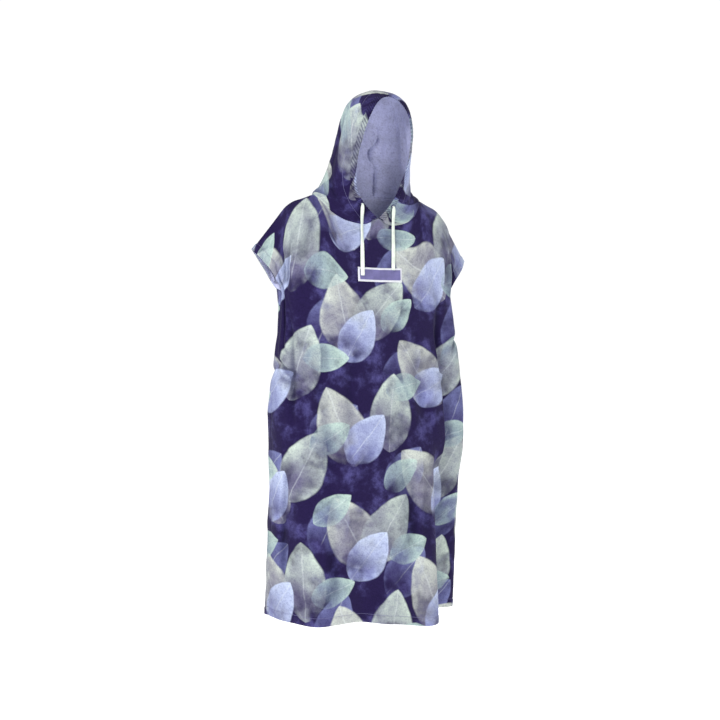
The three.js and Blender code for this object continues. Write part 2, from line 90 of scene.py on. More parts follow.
def smooth(x: Grid) -> Grid:
    """Rise softly from 0 to 1 as x does."""
    held = np.clip(x, 0, 1)
    return held**2 * (3 - 2 * held)


def mix(a: Grid, b: Grid, share: Grid) -> Grid:
    """Go from a to b by a share."""
    return a + (b - a) * share


def unit(vectors: Grid) -> Grid:
    """Scale vectors to a length of 1."""
    return vectors / np.maximum(np.linalg.norm(vectors, axis=-1, keepdims=True), 1e-9)


def through(places: Grid, values: Grid, x: Grid) -> Grid:
    """Follow a smooth curve through values at rising places, with no overshoot between them.

    Args:
        places: Where the values stand.
        values: One number or array of numbers for each place.
        x: Where the curve is read.

    Returns:
        The values at x, one after another.
    """
    at, known, x = (np.asarray(v, float) for v in (places, values, x))
    wide = (-1,) + (1,) * (known.ndim - 1)
    gaps = np.diff(at)
    slopes = np.diff(known, axis=0) / gaps.reshape(wide)
    tangents = np.zeros_like(known)
    tangents[0], tangents[-1] = slopes[0], slopes[-1]
    if len(gaps) > 1:
        before = (2 * gaps[1:] + gaps[:-1]).reshape(wide)
        after = (gaps[1:] + 2 * gaps[:-1]).reshape(wide)
        runs_on = slopes[:-1] * slopes[1:] > 0
        first = np.where(runs_on, slopes[:-1], 1)
        second = np.where(runs_on, slopes[1:], 1)
        tangents[1:-1] = np.where(runs_on, (before + after) / (before / first + after / second), 0)
    i = np.minimum(np.searchsorted(at[1:], x, side="left"), len(gaps) - 1)
    t = np.clip((x - at[i]) / gaps[i], 0, 1).reshape(wide)
    gap = gaps[i].reshape(wide)
    back = 1 - t
    return (
        known[i] * back**2 * (1 + 2 * t)
        + known[i + 1] * t**2 * (3 - 2 * t)
        + tangents[i] * gap * t * back**2
        - tangents[i + 1] * gap * t**2 * back
    )


def bent(values: Grid, power: float) -> Grid:
    """Raise values to a power and keep their signs."""
    return np.abs(values) ** power * np.sign(values)


def ripple(x: Grid, y: Grid, length: float, seed: int) -> Grid:
    """Make a gentle unevenness of about -1 to 1.

    Args:
        x: Places across the cloth, in millimetres.
        y: Places down the cloth, in millimetres.
        length: The mean length of a wave, in millimetres.
        seed: Which unevenness it is.

    Returns:
        Its height at each place.
    """
    chance = np.random.default_rng(seed)
    total = np.zeros(np.broadcast(x, y).shape)
    for _ in range(9):
        way = chance.uniform(0, 2 * math.pi)
        wave = 2 * math.pi / (length * chance.uniform(0.6, 1.7))
        phase = chance.uniform(0, 2 * math.pi)
        total += np.sin(wave * (x * math.cos(way) + y * math.sin(way)) + phase)
    return total / 4.5


def arc_lengths(points: Grid, axis: int) -> Grid:
    """Measure how far along each grid line its points lie, from the line's first point."""
    steps = np.linalg.norm(np.diff(points, axis=axis), axis=-1)
    lengths = np.cumsum(steps, axis=axis)
    pad = [(1, 0) if k == axis else (0, 0) for k in range(steps.ndim)]
    return np.pad(lengths, pad)


# The cut and the form it is worn in

NECK_SHARE = 0.41
STATIONS = (0, 0.2, 0.41, 0.55, 0.65, 0.75, 0.87, 1)
UNDERARM = 200
CUT_LENGTH = 1022


def neck_point(alpha: Grid) -> Grid:
    """Find the neck hole's points by their angle from the centre front (0) to the centre back (180)."""
    angle = np.radians(alpha)
    height = through((0, 15, 30, 48, 62, 75, 90, 130, 180), (-57, -73, -67, -48, -24, -7, 3, 8, 9), alpha)
    return np.stack([155 * np.sin(angle), -0.5 - 60.5 * np.cos(angle), height], axis=-1)


@dataclass(frozen=True)
class Row:
    """One row of a panel above the underarm: points at the stations across it."""

    down: float
    x: tuple[float, ...]
    y: tuple[float, ...]
    z: tuple[float, ...]

    def at(self, out: Grid) -> Grid:
        """Follow the row outwards."""
        return through(STATIONS, np.stack([self.x, self.y, self.z], axis=-1), out)


@dataclass(frozen=True)
class Fold:
    """A trough (depth above 0) or ridge that runs down a panel from one s to another."""

    start: float
    end: float
    s: tuple[float, float]
    depth: tuple[float, float]
    before: float
    after: float

    def at(self, s: Grid, down: Grid) -> Grid:
        """Find how deep the fold is."""
        share = np.clip((down - self.start) / (min(self.end, CUT_LENGTH) - self.start), 0, 1)
        offset = s - mix(self.s[0], self.s[1], share)
        reach = np.where(offset < 0, self.before, self.after)
        across = np.cos(np.clip(offset / reach, -1, 1) * math.pi / 2) ** 2
        along = smooth((down - self.start) / 110) * smooth((self.end - down) / 110)
        return across * along * mix(self.depth[0], self.depth[1], share)


@dataclass(frozen=True)
class Crease:
    """A soft crease, from one place to another on a cloth.

    Places are (across, down) in millimetres. It is steeper on one side when it leans, and bends by bow.
    """

    start: tuple[float, float]
    end: tuple[float, float]
    depth: float
    width: float
    bow: float = 0.0
    lean: float = 0.0

    def at(self, x: Grid, y: Grid) -> Grid:
        """Find how deep the crease is at places on the cloth."""
        way = np.subtract(self.end, self.start)
        length = float(np.hypot(*way))
        way = way / length
        along = (x - self.start[0]) * way[0] + (y - self.start[1]) * way[1]
        share = np.clip(along / length, 0, 1)
        off = (x - self.start[0]) * -way[1] + (y - self.start[1]) * way[0]
        off = off - self.bow * 4 * share * (1 - share)
        beyond = along - share * length
        swell = 0.65 + 0.35 * np.sin(math.pi * share)
        width = self.width * (1 + self.lean * np.tanh(off / self.width)) * swell
        end = np.sin(math.pi * np.clip(share * 0.9 + 0.05, 0, 1)) ** 0.7
        return self.depth * end * np.exp(-((off / width) ** 2) - (beyond / self.width) ** 2)


UPPER_ROWS = {
    Face.FRONT: (
        Row(
            50,
            (0, 96, 154, 203, 234, 245, 271, 294),
            (-65, -63, -47, -36, -22, 0, 2, 6),
            (-107, -104, -52, -56, -74, -98, -134, -165),
        ),
        Row(
            100,
            (0, 94, 158, 206, 237, 236, 256, 271),
            (-69, -69, -59, -48, -32, 0, -5, -4),
            (-155, -152, -118, -120, -132, -148, -174, -194),
        ),
        Row(
            150,
            (0, 94, 160, 206, 236, 233, 245, 254),
            (-72, -72, -64, -53, -36, -4, -8, -5),
            (-204, -202, -184, -184, -188, -198, -213, -222),
        ),
        Row(
            200,
            (0, 93, 161, 203, 228, 237, 240, 239),
            (-75, -74, -67, -54, -40, -24, -10, 4),
            (-250, -250, -250, -250, -250, -250, -249, -248),
        ),
    ),
    Face.BACK: (
        Row(
            50,
            (0, 100, 153, 202, 234, 247, 265, 282),
            (78, 76, 42, 44, 44, 43, 46, 42),
            (-44, -40, -30, -44, -68, -98, -138, -173),
        ),
        Row(
            100,
            (0, 98, 158, 206, 235, 240, 249, 257),
            (92, 90, 78, 72, 62, 50, 52, 48),
            (-104, -101, -92, -106, -125, -149, -179, -206),
        ),
        Row(
            150,
            (0, 96, 160, 206, 234, 235, 240, 244),
            (97, 95, 87, 77, 62, 44, 42, 36),
            (-172, -170, -166, -174, -183, -198, -217, -232),
        ),
        Row(
            200,
            (0, 95, 162, 203, 227, 235, 239, 239),
            (99, 97, 88, 74, 56, 34, 16, 4),
            (-250, -250, -250, -250, -250, -250, -249, -248),
        ),
    ),
}

FOLDS = {
    Face.FRONT: (
        Fold(225, 690, (0.46, 0.52), (12, 34), 0.07, 0.2),
        Fold(190, 700, (0.76, 0.8), (-13, -12), 0.16, 0.14),
        Fold(560, 1200, (0.39, 0.46), (26, 74), 0.13, 0.3),
        Fold(560, 1200, (0.2, 0.28), (-3, -9), 0.14, 0.09),
        Fold(300, 660, (-0.4, -0.47), (6, 7), 0.13, 0.09),
        Fold(280, 600, (0.2, 0.24), (5, 7), 0.08, 0.11),
        Fold(720, 1200, (-0.12, -0.16), (5, 15), 0.18, 0.18),
        Fold(620, 1200, (-0.42, -0.46), (-4, -9), 0.18, 0.16),
        Fold(560, 1100, (-0.74, -0.72), (3, 5), 0.13, 0.13),
        Fold(190, 430, (-0.72, -0.8), (4, 4), 0.09, 0.09),
    ),
    Face.BACK: (
        Fold(120, 1200, (-0.34, -0.46), (5, 24), 0.12, 0.14),
        Fold(240, 1200, (-0.02, 0.04), (6, 20), 0.14, 0.12),
        Fold(150, 1200, (0.38, 0.46), (5, 26), 0.13, 0.12),
        Fold(260, 1200, (-0.78, -0.8), (6, 8), 0.1, 0.11),
        Fold(220, 1000, (0.76, 0.82), (12, 12), 0.1, 0.1),
        Fold(500, 1200, (-0.62, -0.63), (-3, -8), 0.08, 0.08),
        Fold(500, 1200, (0.62, 0.64), (-3, -9), 0.08, 0.08),
    ),
}

CREASES = {
    Face.FRONT: (
        Crease((-236, 110), (-232, 330), 5.0, 9, 5, 0.3),
        Crease((-214, 250), (-176, 520), 4.0, 13, -10, 0.3),
        Crease((-150, 60), (-196, 190), 3.2, 12, 8, -0.2),
        Crease((-112, 40), (-150, 150), 2.2, 9, 5, 0.2),
        Crease((-250, 372), (-170, 402), 5.5, 8, 6, 0.4),
        Crease((-248, 410), (-188, 428), 3.0, 7, -4, 0.2),
        Crease((-250, 330), (-206, 356), 2.6, 7, -3, -0.3),
        Crease((-40, 330), (-52, 640), 2.4, 15, 12, 0.2),
        Crease((-120, 380), (-108, 700), 2.8, 17, -14, -0.2),
        Crease((60, 300), (78, 540), 2.6, 14, 10, 0.3),
        Crease((10, 560), (24, 900), 3.0, 18, -12, 0.2),
        Crease((-200, 600), (-214, 940), 3.4, 16, 10, -0.2),
        Crease((-92, 700), (-84, 1000), 3.0, 15, 8, 0.2),
        Crease((108, 150), (134, 420), 2.8, 13, -8, -0.3),
        Crease((150, 60), (200, 200), 3.0, 11, -7, 0.2),
        Crease((116, 40), (158, 140), 2.0, 9, -4, 0.1),
        Crease((236, 110), (230, 340), 4.6, 9, -5, -0.3),
        Crease((226, 300), (176, 360), 3.6, 9, 5, 0.3),
        Crease((-262, 128), (-268, 192), 2.2, 8, 3, 0.2),
        Crease((262, 126), (262, 190), 2.0, 8, -3, 0.2),
        Crease((-58, 30), (-92, 74), 1.6, 7, 3, 0.2),
        Crease((54, 30), (96, 80), 1.7, 7, -3, -0.2),
        Crease((66, 640), (62, 860), 2.4, 13, 6, -0.3),
        Crease((196, 760), (206, 1000), 3.0, 14, -6, 0.2),
    ),
    Face.BACK: (
        Crease((-236, 120), (-230, 360), 4.4, 9, -5, 0.3),
        Crease((236, 120), (232, 330), 4.8, 9, 5, -0.3),
        Crease((-60, 120), (-84, 430), 2.8, 15, 10, 0.2),
        Crease((52, 90), (90, 380), 3.0, 16, -12, -0.2),
        Crease((-150, 50), (-190, 210), 3.0, 12, 6, 0.2),
        Crease((146, 60), (196, 190), 3.2, 12, -6, -0.2),
        Crease((-30, 420), (-56, 720), 2.6, 16, 9, 0.1),
        Crease((70, 520), (52, 800), 3.0, 17, -11, 0.2),
        Crease((-180, 560), (-196, 900), 3.2, 15, 8, -0.3),
        Crease((188, 600), (204, 960), 3.0, 15, -9, 0.2),
        Crease((-246, 380), (-180, 420), 4.2, 9, 5, 0.3),
        Crease((244, 430), (186, 470), 3.2, 9, -4, 0.2),
        Crease((-108, 760), (-100, 1000), 2.6, 14, 7, 0.2),
        Crease((128, 780), (120, 1005), 2.8, 14, -6, -0.2),
    ),
}


@dataclass(frozen=True)
class BodyCut:
    """The body's front or back panel with its grown-on cap sleeves, in the form it is worn in."""

    face: Face
    tube_down: tuple[float, ...] = (282, 382, 512, 652, 852, 1022)
    tube_z: tuple[float, ...] = (-330, -430, -560, -700, -900, -1070)
    half_width: tuple[float, ...] = (246, 257, 268, 263, 261, 257)
    front: tuple[float, ...] = (84, 98, 118, 137, 163, 188)
    back: tuple[float, ...] = (100, 106, 112, 117, 121, 118)
    seam_y: tuple[float, ...] = (1, 3, 7, 11, 29, 49)
    boxiness: float = 0.85
    notch: Point = (388, 26, 9)  # the right hip's notch: its length down, reach and depth
    left_drop: float = 9  # how much lower the left sleeve hangs
    crease_width: float = 262  # what the creases take as the way from the centre to the side seam
    crease_gain: float = 2.1

    def shoulder_seam(self, out: Grid) -> Grid:
        """Follow the shoulder seam from the neck to the sleeve's tip."""
        table = (
            (155, 182, 207, 228, 243, 261, 288, 312),
            (-2, 2, 6, 9, 12, 15, 19, 24),
            (3, -8, -17, -32, -51, -75, -110, -141),
        )
        return through((0.41, 0.475, 0.545, 0.61, 0.66, 0.74, 0.87, 1), np.transpose(table), out)

    def tube(self, row: int, out: Grid) -> Grid:
        """Follow one section of the body below the underarm."""
        turn = out * math.pi / 2
        depth = -self.front[row] if self.face is Face.FRONT else self.back[row]
        across = np.sin(turn) ** self.boxiness
        forward = np.where(out < 1, np.maximum(np.cos(turn), 0) ** self.boxiness, 0)
        z = np.full_like(out, self.tube_z[row])
        return np.stack([self.half_width[row] * across, self.seam_y[row] + depth * forward, z], axis=-1)

    def lines(self, out: Grid) -> tuple[Grid, Grid]:
        """List the rows that a panel runs through, from the shoulder to the hem, and their lengths down."""
        alpha = np.minimum(out / NECK_SHARE, 1) * 90
        neck = neck_point(alpha if self.face is Face.FRONT else 180 - alpha)
        top = np.where((out <= NECK_SHARE)[:, None], neck, self.shoulder_seam(out))
        upper = UPPER_ROWS[self.face]
        tubes = (self.tube(k, out) for k in range(len(self.tube_down)))
        rows = [top, *(row.at(out) for row in upper), *tubes]
        return np.array([0, *(row.down for row in upper), *self.tube_down], float), np.stack(rows)

    def base(self, s: Grid, down: Grid) -> Grid:
        """Find a grid of points on the panel before its folds.

        Args:
            s: Places across.
            down: Lengths down the cloth.

        Returns:
            Points in millimetres, a row for each length down.
        """
        s, down = np.clip(s, -1, 1), np.clip(down, 0, CUT_LENGTH)
        out, side = np.abs(s), np.where(s < 0, -1, 1)
        downs, rows = self.lines(out)
        points = through(downs, rows, down)
        edge_rows = self.lines(np.array([1.0]))[1][:, 0]
        own = through(downs, edge_rows, down)
        tubes = np.stack([self.tube(k, np.array([1.0]))[0] for k in range(len(self.tube_down))])
        seam_rows = np.vstack([[239, 4, -248], tubes])
        seam = through((UNDERARM, *self.tube_down), seam_rows, down)
        below = (down > UNDERARM)[:, None, None]
        pull = smooth((out - 0.8) / 0.2)[None, :, None]
        points = points + np.where(below, (seam - own)[:, None] * pull, 0)
        middle, reach, depth = self.notch
        away = ((1 - out) / 0.12)[None] ** 2 + ((down - middle) / reach)[:, None] ** 2
        points[..., 0] = side * (points[..., 0] - np.where(side < 0, depth * np.exp(-away), 0))
        sleeve = smooth((out - 0.55) / 0.45)[None] * smooth((UNDERARM - down) / UNDERARM)[:, None]
        points[..., 2] -= np.where(side > 0, self.left_drop, 0) * sleeve
        points[..., 2] += self.hem(s)[None] * smooth((down - 650) / (CUT_LENGTH - 650))[:, None]
        return points

    def hem(self, s: Grid) -> Grid:
        """Say how much the hem dips and lifts across the panel."""
        if self.face is Face.BACK:
            return through((-1, -0.5, 0, 0.5, 1), (10, 4, 8, -3, 4), s)
        places = (-1, -0.85, -0.5, -0.2, 0, 0.25, 0.4, 0.5, 0.6, 0.7, 1)
        return through(places, (10, 6, -1, 6, -5, -20, -12, 0, 4, 4, 4), s)

    def surface(self, s: Grid, down: Grid) -> tuple[Grid, Grid, Grid]:
        """Find the panel's outside with its folds and creases, and the way out from it.

        Args:
            s: Places across.
            down: Lengths down the cloth.

        Returns:
            The points, the unit normals and how deep the creases are, in millimetres.
        """
        along = self.base(s + 0.004, down) - self.base(s - 0.004, down)
        fall = self.base(s, down + 2) - self.base(s, down - 2)
        normal = unit(np.cross(along, fall)) * (-1 if self.face is Face.FRONT else 1)
        across, length = np.meshgrid(s, down)
        depth = sum(fold.at(across, length) for fold in FOLDS[self.face])
        x = across * self.crease_width
        fine = self.crease_gain * sum(crease.at(x, length) for crease in CREASES[self.face])
        seed = 11 if self.face is Face.FRONT else 12
        fine = fine + 1.5 * ripple(x, length * 0.6, 95, seed) + 0.6 * ripple(x, length * 0.7, 34, seed + 10)
        depth = (depth + fine) * smooth((1 - np.abs(across)) / 0.06)
        depth = depth - np.where(length < 14, fine * (1 - smooth(length / 14)), 0)
        return self.base(s, down) - normal * depth[..., None], normal, fine


@dataclass(frozen=True)
class HoodCut:
    """One half of the hood, from the face round the side to its centre back seam."""

    side: Side
    face_y: tuple[float, ...] = (-61, -59, -57, -58, -67, -82, -98, -113, -122, -126, -125, -121, -118)
    face_z: tuple[float, ...] = (-57, -38, -16, 8, 38, 74, 110, 146, 180, 206, 226, 239, 244)
    back_y: tuple[float, ...] = (60, 62, 65, 67, 68, 67, 64, 58, 48, 35, 23, 15, 11)
    back_z: tuple[float, ...] = (9, 17, 28, 43, 67, 99, 129, 158, 184, 205, 221, 231, 235)
    half_width: tuple[float, ...] = (155, 147, 138, 129, 119, 109, 101, 95, 89, 80, 63, 35, 0)
    turn: tuple[float, ...] = (179.94, 171.8, 163, 154.8, 147, 139.4, 134.5, 134.3, 138, 143, 147, 151, 152)
    lift: tuple[float, ...] = (0, 0, 0, 0, 0, 2, 5, 9, 15, 20, 24, 27, 28)

    def read(self, values: tuple[float, ...], level: Grid) -> Grid:
        """Read one of the tables at levels from the neck (0) to the crown (1)."""
        return through(np.linspace(0, 1, len(values)), values, level.ravel()).reshape(level.shape)

    def arc(self, round_: Grid, level: Grid) -> Grid:
        """Find points on the hood's plain arcs, before the lowest ones take the neck hole's shape."""
        turn = np.radians(self.read(self.turn, level))
        angle = turn * (1 - round_)
        share = (np.cos(angle) - np.cos(turn)) / (1 - np.cos(turn))
        x = self.read(self.half_width, level) * np.sin(angle)
        y = mix(self.read(self.face_y, level), self.read(self.back_y, level), share)
        z = mix(self.read(self.face_z, level), self.read(self.back_z, level), share)
        return np.stack([x, y, z + self.read(self.lift, level) * 4 * share * (1 - share)], axis=-1)

    def points(self, round_: Grid, level: Grid) -> Grid:
        """Find points of the hood half.

        Args:
            round_: Shares of the way round, 0 at the face and 1 at the back seam.
            level: Shares of the way up, of the same shape.

        Returns:
            Points in millimetres.
        """
        level = np.clip(level, 0, 1)
        round_ = np.broadcast_to(round_, level.shape)
        angles = 180 - self.turn[0] * (1 - round_)
        neck = neck_point(angles.ravel()).reshape(*angles.shape, 3)
        blend = 1 - smooth(level / 0.3)
        shaped = self.arc(round_, level) + (neck - self.arc(round_, np.zeros_like(level))) * blend[..., None]
        return shaped * (self.side.value, 1, 1)

    def start(self, level: Grid, length: float) -> Grid:
        """Find how far round each level a strip of the given length from the face reaches."""
        rounds = np.linspace(0, 0.5, 251)
        rows, columns = np.meshgrid(level, rounds, indexing="ij")
        passed = arc_lengths(self.points(columns, rows), 1)
        return np.array([np.interp(length, row, rounds) for row in passed])


# Meshes


@dataclass
class MeshParts:
    """What a mesh is made of before Blender holds it. A triangle is a face with one corner twice."""

    points: Grid
    faces: Grid
    slots: Grid
    maps: dict[str, Grid] = field(default_factory=dict)

    def build(self, name: str, materials: list[bpy.types.Material]) -> bpy.types.Object:
        """Make the object.

        Args:
            name: The piece's name.
            materials: Its materials, in the order of the slots.

        Returns:
            The object, in metres, at the origin.
        """
        mesh = bpy.data.meshes.new(name)
        faces = [tuple(dict.fromkeys(corners)) for corners in self.faces.tolist()]
        mesh.from_pydata((self.points * MM).tolist(), [], faces)
        mesh.polygons.foreach_set("material_index", self.slots.astype(np.int32))
        mesh.polygons.foreach_set("use_smooth", np.ones(len(self.faces), bool))
        corners = np.empty(len(mesh.loops), np.int32)
        mesh.loops.foreach_get("vertex_index", corners)
        for label, places in self.maps.items():
            layer = mesh.uv_layers.new(name=label)
            layer.data.foreach_set("uv", places[corners].astype(np.float32).ravel())
        for material in materials:
            mesh.materials.append(material)
        mesh.update()
        made = bpy.data.objects.new(name, mesh)
        bpy.context.collection.objects.link(made)
        return made


def quads(rows: int, columns: int, closed: bool = False) -> Grid:
    """List the faces of a grid, joined round its columns if it is closed."""
    j, i = np.meshgrid(np.arange(rows - 1), np.arange(columns if closed else columns - 1), indexing="ij")
    j, i = j.ravel(), i.ravel()
    after = (i + 1) % columns
    low, high = j * columns, (j + 1) * columns
    return np.stack([low + i, low + after, high + after, high + i], -1)


def tube(rings: Grid, flip: bool) -> tuple[Grid, Grid]:
    """Close a row of rings of points into a tube with two flat ends.

    Args:
        rings: The points, a row for each ring.
        flip: Whether the faces' way round is turned.

    Returns:
        The points, with the middle of each end last, and the faces.
    """
    count, around = rings.shape[:2]
    size, ring = count * around, np.arange(around)
    faces = [quads(count, around, closed=True)]
    for corners, middle in ((ring[::-1], size), (size - around + ring, size + 1)):
        centre = np.full(around, middle)
        faces.append(np.stack([corners, np.roll(corners, -1), centre, centre], -1))
    points = np.vstack([rings.reshape(-1, 3), rings[0].mean(0), rings[-1].mean(0)])
    joined = np.concatenate(faces)
    return points, joined[:, ::-1] if flip else joined


@dataclass
class Cloth:
    """A piece of cloth in the making: its outside as a grid of points, and how it is cut and sewn.

    Folds says how deep its creases are at each point, in millimetres; the towelling's material paints shade
    where they run deep.
    """

    name: str
    points: Grid
    normals: Grid
    cut: Grid
    folds: Grid
    flip: bool
    wall: float = 2.5
    pinch: float = 1.0
    hem_width: float = 20.0
    allowance: float = 1.6
    sewn: list[Grid] = field(default_factory=list)

    def key(self, point: Grid) -> tuple[int, ...]:
        """Name a place to the nearest 0.02 mm, so that points which two pieces share get the same name."""
        return tuple(int(v) for v in np.rint(point * 50))

    def edges(self) -> list[tuple[Grid, Grid]]:
        """List the top, bottom, first and last edges as row and column numbers."""
        rows, columns = self.points.shape[:2]
        across, down = np.arange(columns), np.arange(rows)
        return [
            (np.zeros_like(across), across),
            (np.full_like(across, rows - 1), across),
            (down, np.zeros_like(down)),
            (down, np.full_like(down, columns - 1)),
        ]

    def add_to(self, seams: dict[tuple[int, ...], list[Grid]]) -> None:
        """Note this piece's normals at its edge points."""
        noted: set[tuple[int, int]] = set()
        for rows, columns in self.edges():
            for j, i in zip(rows.tolist(), columns.tolist()):
                if (j, i) not in noted:
                    noted.add((j, i))
                    seams[self.key(self.points[j, i])].append(self.normals[j, i])

    def meet(self, seams: dict[tuple[int, ...], list[Grid]]) -> None:
        """Turn the edge normals to the mean of the pieces that meet there, and note which edges are sewn."""
        turned = self.normals.copy()
        means = []
        self.sewn = []
        for way, ((rows, columns), distance) in enumerate(zip(self.edges(), self.distances())):
            met = [seams[self.key(self.points[j, i])] for j, i in zip(rows, columns)]
            mean = unit(np.stack([np.sum(normals, axis=0) for normals in met]))
            means.append((rows, columns, mean))
            change = mean - self.normals[rows, columns]
            change = change[None] if way < 2 else change[:, None]
            turned += change * np.exp(-((distance / 5.0) ** 2))[..., None]
            self.sewn.append(np.array([len(normals) > 1 for normals in met], float))
        turned = unit(turned)
        for rows, columns, mean in means:
            turned[rows, columns] = mean
        self.normals = turned

    def distances(self) -> list[Grid]:
        """Measure how far each point lies from the top, bottom, first and last edge."""
        down, across = arc_lengths(self.points, 0), arc_lengths(self.points, 1)
        return [down, down[-1:] - down, across, across[:, -1:] - across]

    def shaped(self) -> tuple[Grid, Grid, Grid]:
        """Draw the cloth in at its seams and thicken its turned hems.

        Returns:
            The outside points, and each point's distance from the nearest hem and the nearest seam.
        """
        rise = np.zeros(self.points.shape[:2])
        nearest = np.full_like(rise, 1e3)
        seam = np.full_like(rise, 1e3)
        for way, (distance, sewn) in enumerate(zip(self.distances(), self.sewn)):
            mask = sewn[None, :] if way < 2 else sewn[:, None]
            rise = rise - self.pinch * np.exp(-((distance / 4.5) ** 2)) * mask
            nearest = np.where(mask > 0, nearest, np.minimum(nearest, distance))
            seam = np.where(mask > 0, np.minimum(seam, distance), seam)
        band = smooth((self.hem_width - nearest) / 2.5)
        rise = rise + 0.8 * band - 0.9 * np.exp(-(((nearest - self.hem_width) / 1.8) ** 2))
        return self.points + self.normals * rise[..., None], nearest, seam

    def parts(self) -> MeshParts:
        """Make the closed wall: the outside, the inside and a rounded rim.

        Returns:
            The mesh's parts, with slot 0 outside and on the rim and slot 1 inside.
        """
        outer, nearest, seam = self.shaped()
        band = smooth((self.hem_width - nearest) / 2.5)
        allowance = self.allowance * np.exp(-(((seam - 5) / 2.4) ** 2))
        thick = self.wall * (0.3 + 0.7 * smooth(seam / 7)) + 0.8 * band + allowance
        inner = outer - self.normals * thick[..., None]
        rows, columns = outer.shape[:2]
        face = quads(rows, columns)
        size = rows * columns
        face_out = face if self.flip else face[:, ::-1]
        face_in = face[:, ::-1] + size if self.flip else face + size
        ring = np.concatenate(
            [
                np.arange(columns),
                np.arange(1, rows) * columns + columns - 1,
                (rows - 1) * columns + np.arange(columns - 2, -1, -1),
                np.arange(rows - 2, 0, -1) * columns,
            ]
        )
        flat_outer, flat_inner = outer.reshape(-1, 3), inner.reshape(-1, 3)
        away = unit(self.rim_way(outer).reshape(-1, 3)[ring])
        open_edge = (nearest.ravel()[ring] < 1)[:, None]
        middle = (flat_outer[ring] + flat_inner[ring]) / 2 + away * np.where(open_edge, 1.1, 0)
        after = np.roll(np.arange(len(ring)), -1)
        lip = 2 * size + np.arange(len(ring))
        first = np.stack([ring, ring[after], lip[after], lip], -1)
        second = np.stack([lip, lip[after], ring[after] + size, ring + size], -1)
        rim = np.concatenate([first, second])
        rim = rim[:, ::-1] if self.flip else rim
        cut = self.cut.reshape(-1, 2)
        hem = np.stack([cut.sum(1), nearest.ravel() * MM], -1)
        # Crease depths for the painted crease shade; the inside takes them turned, so the troughs seen from
        # within get the painted shade too.
        fold = np.stack([self.folds.ravel(), np.zeros(size)], -1)
        return MeshParts(
            np.concatenate([flat_outer, flat_inner, middle]),
            np.concatenate([face_out, face_in, rim]),
            np.concatenate([np.zeros(len(face)), np.ones(len(face)), np.zeros(len(rim))]),
            {
                "cut": np.concatenate([cut, cut, cut[ring]]),
                "hem": np.concatenate([hem, hem, hem[ring]]),
                "fold": np.concatenate([fold, -fold, fold[ring]]),
            },
        )

    def rim_way(self, outer: Grid) -> Grid:
        """Find the way out over the edge at each edge point."""
        way = np.zeros_like(outer)
        way[0] += unit(outer[0] - outer[1])
        way[-1] += unit(outer[-1] - outer[-2])
        way[:, 0] += unit(outer[:, 0] - outer[:, 1])
        way[:, -1] += unit(outer[:, -1] - outer[:, -2])
        return way


# Finishes


@dataclass(frozen=True)
class StitchRow:
    """A row of stitches: how many to a metre, a dash's start and end, and its place and width in metres."""

    count: float
    dash: tuple[float, float, float, float]
    inset: float
    thread: tuple[float, float]


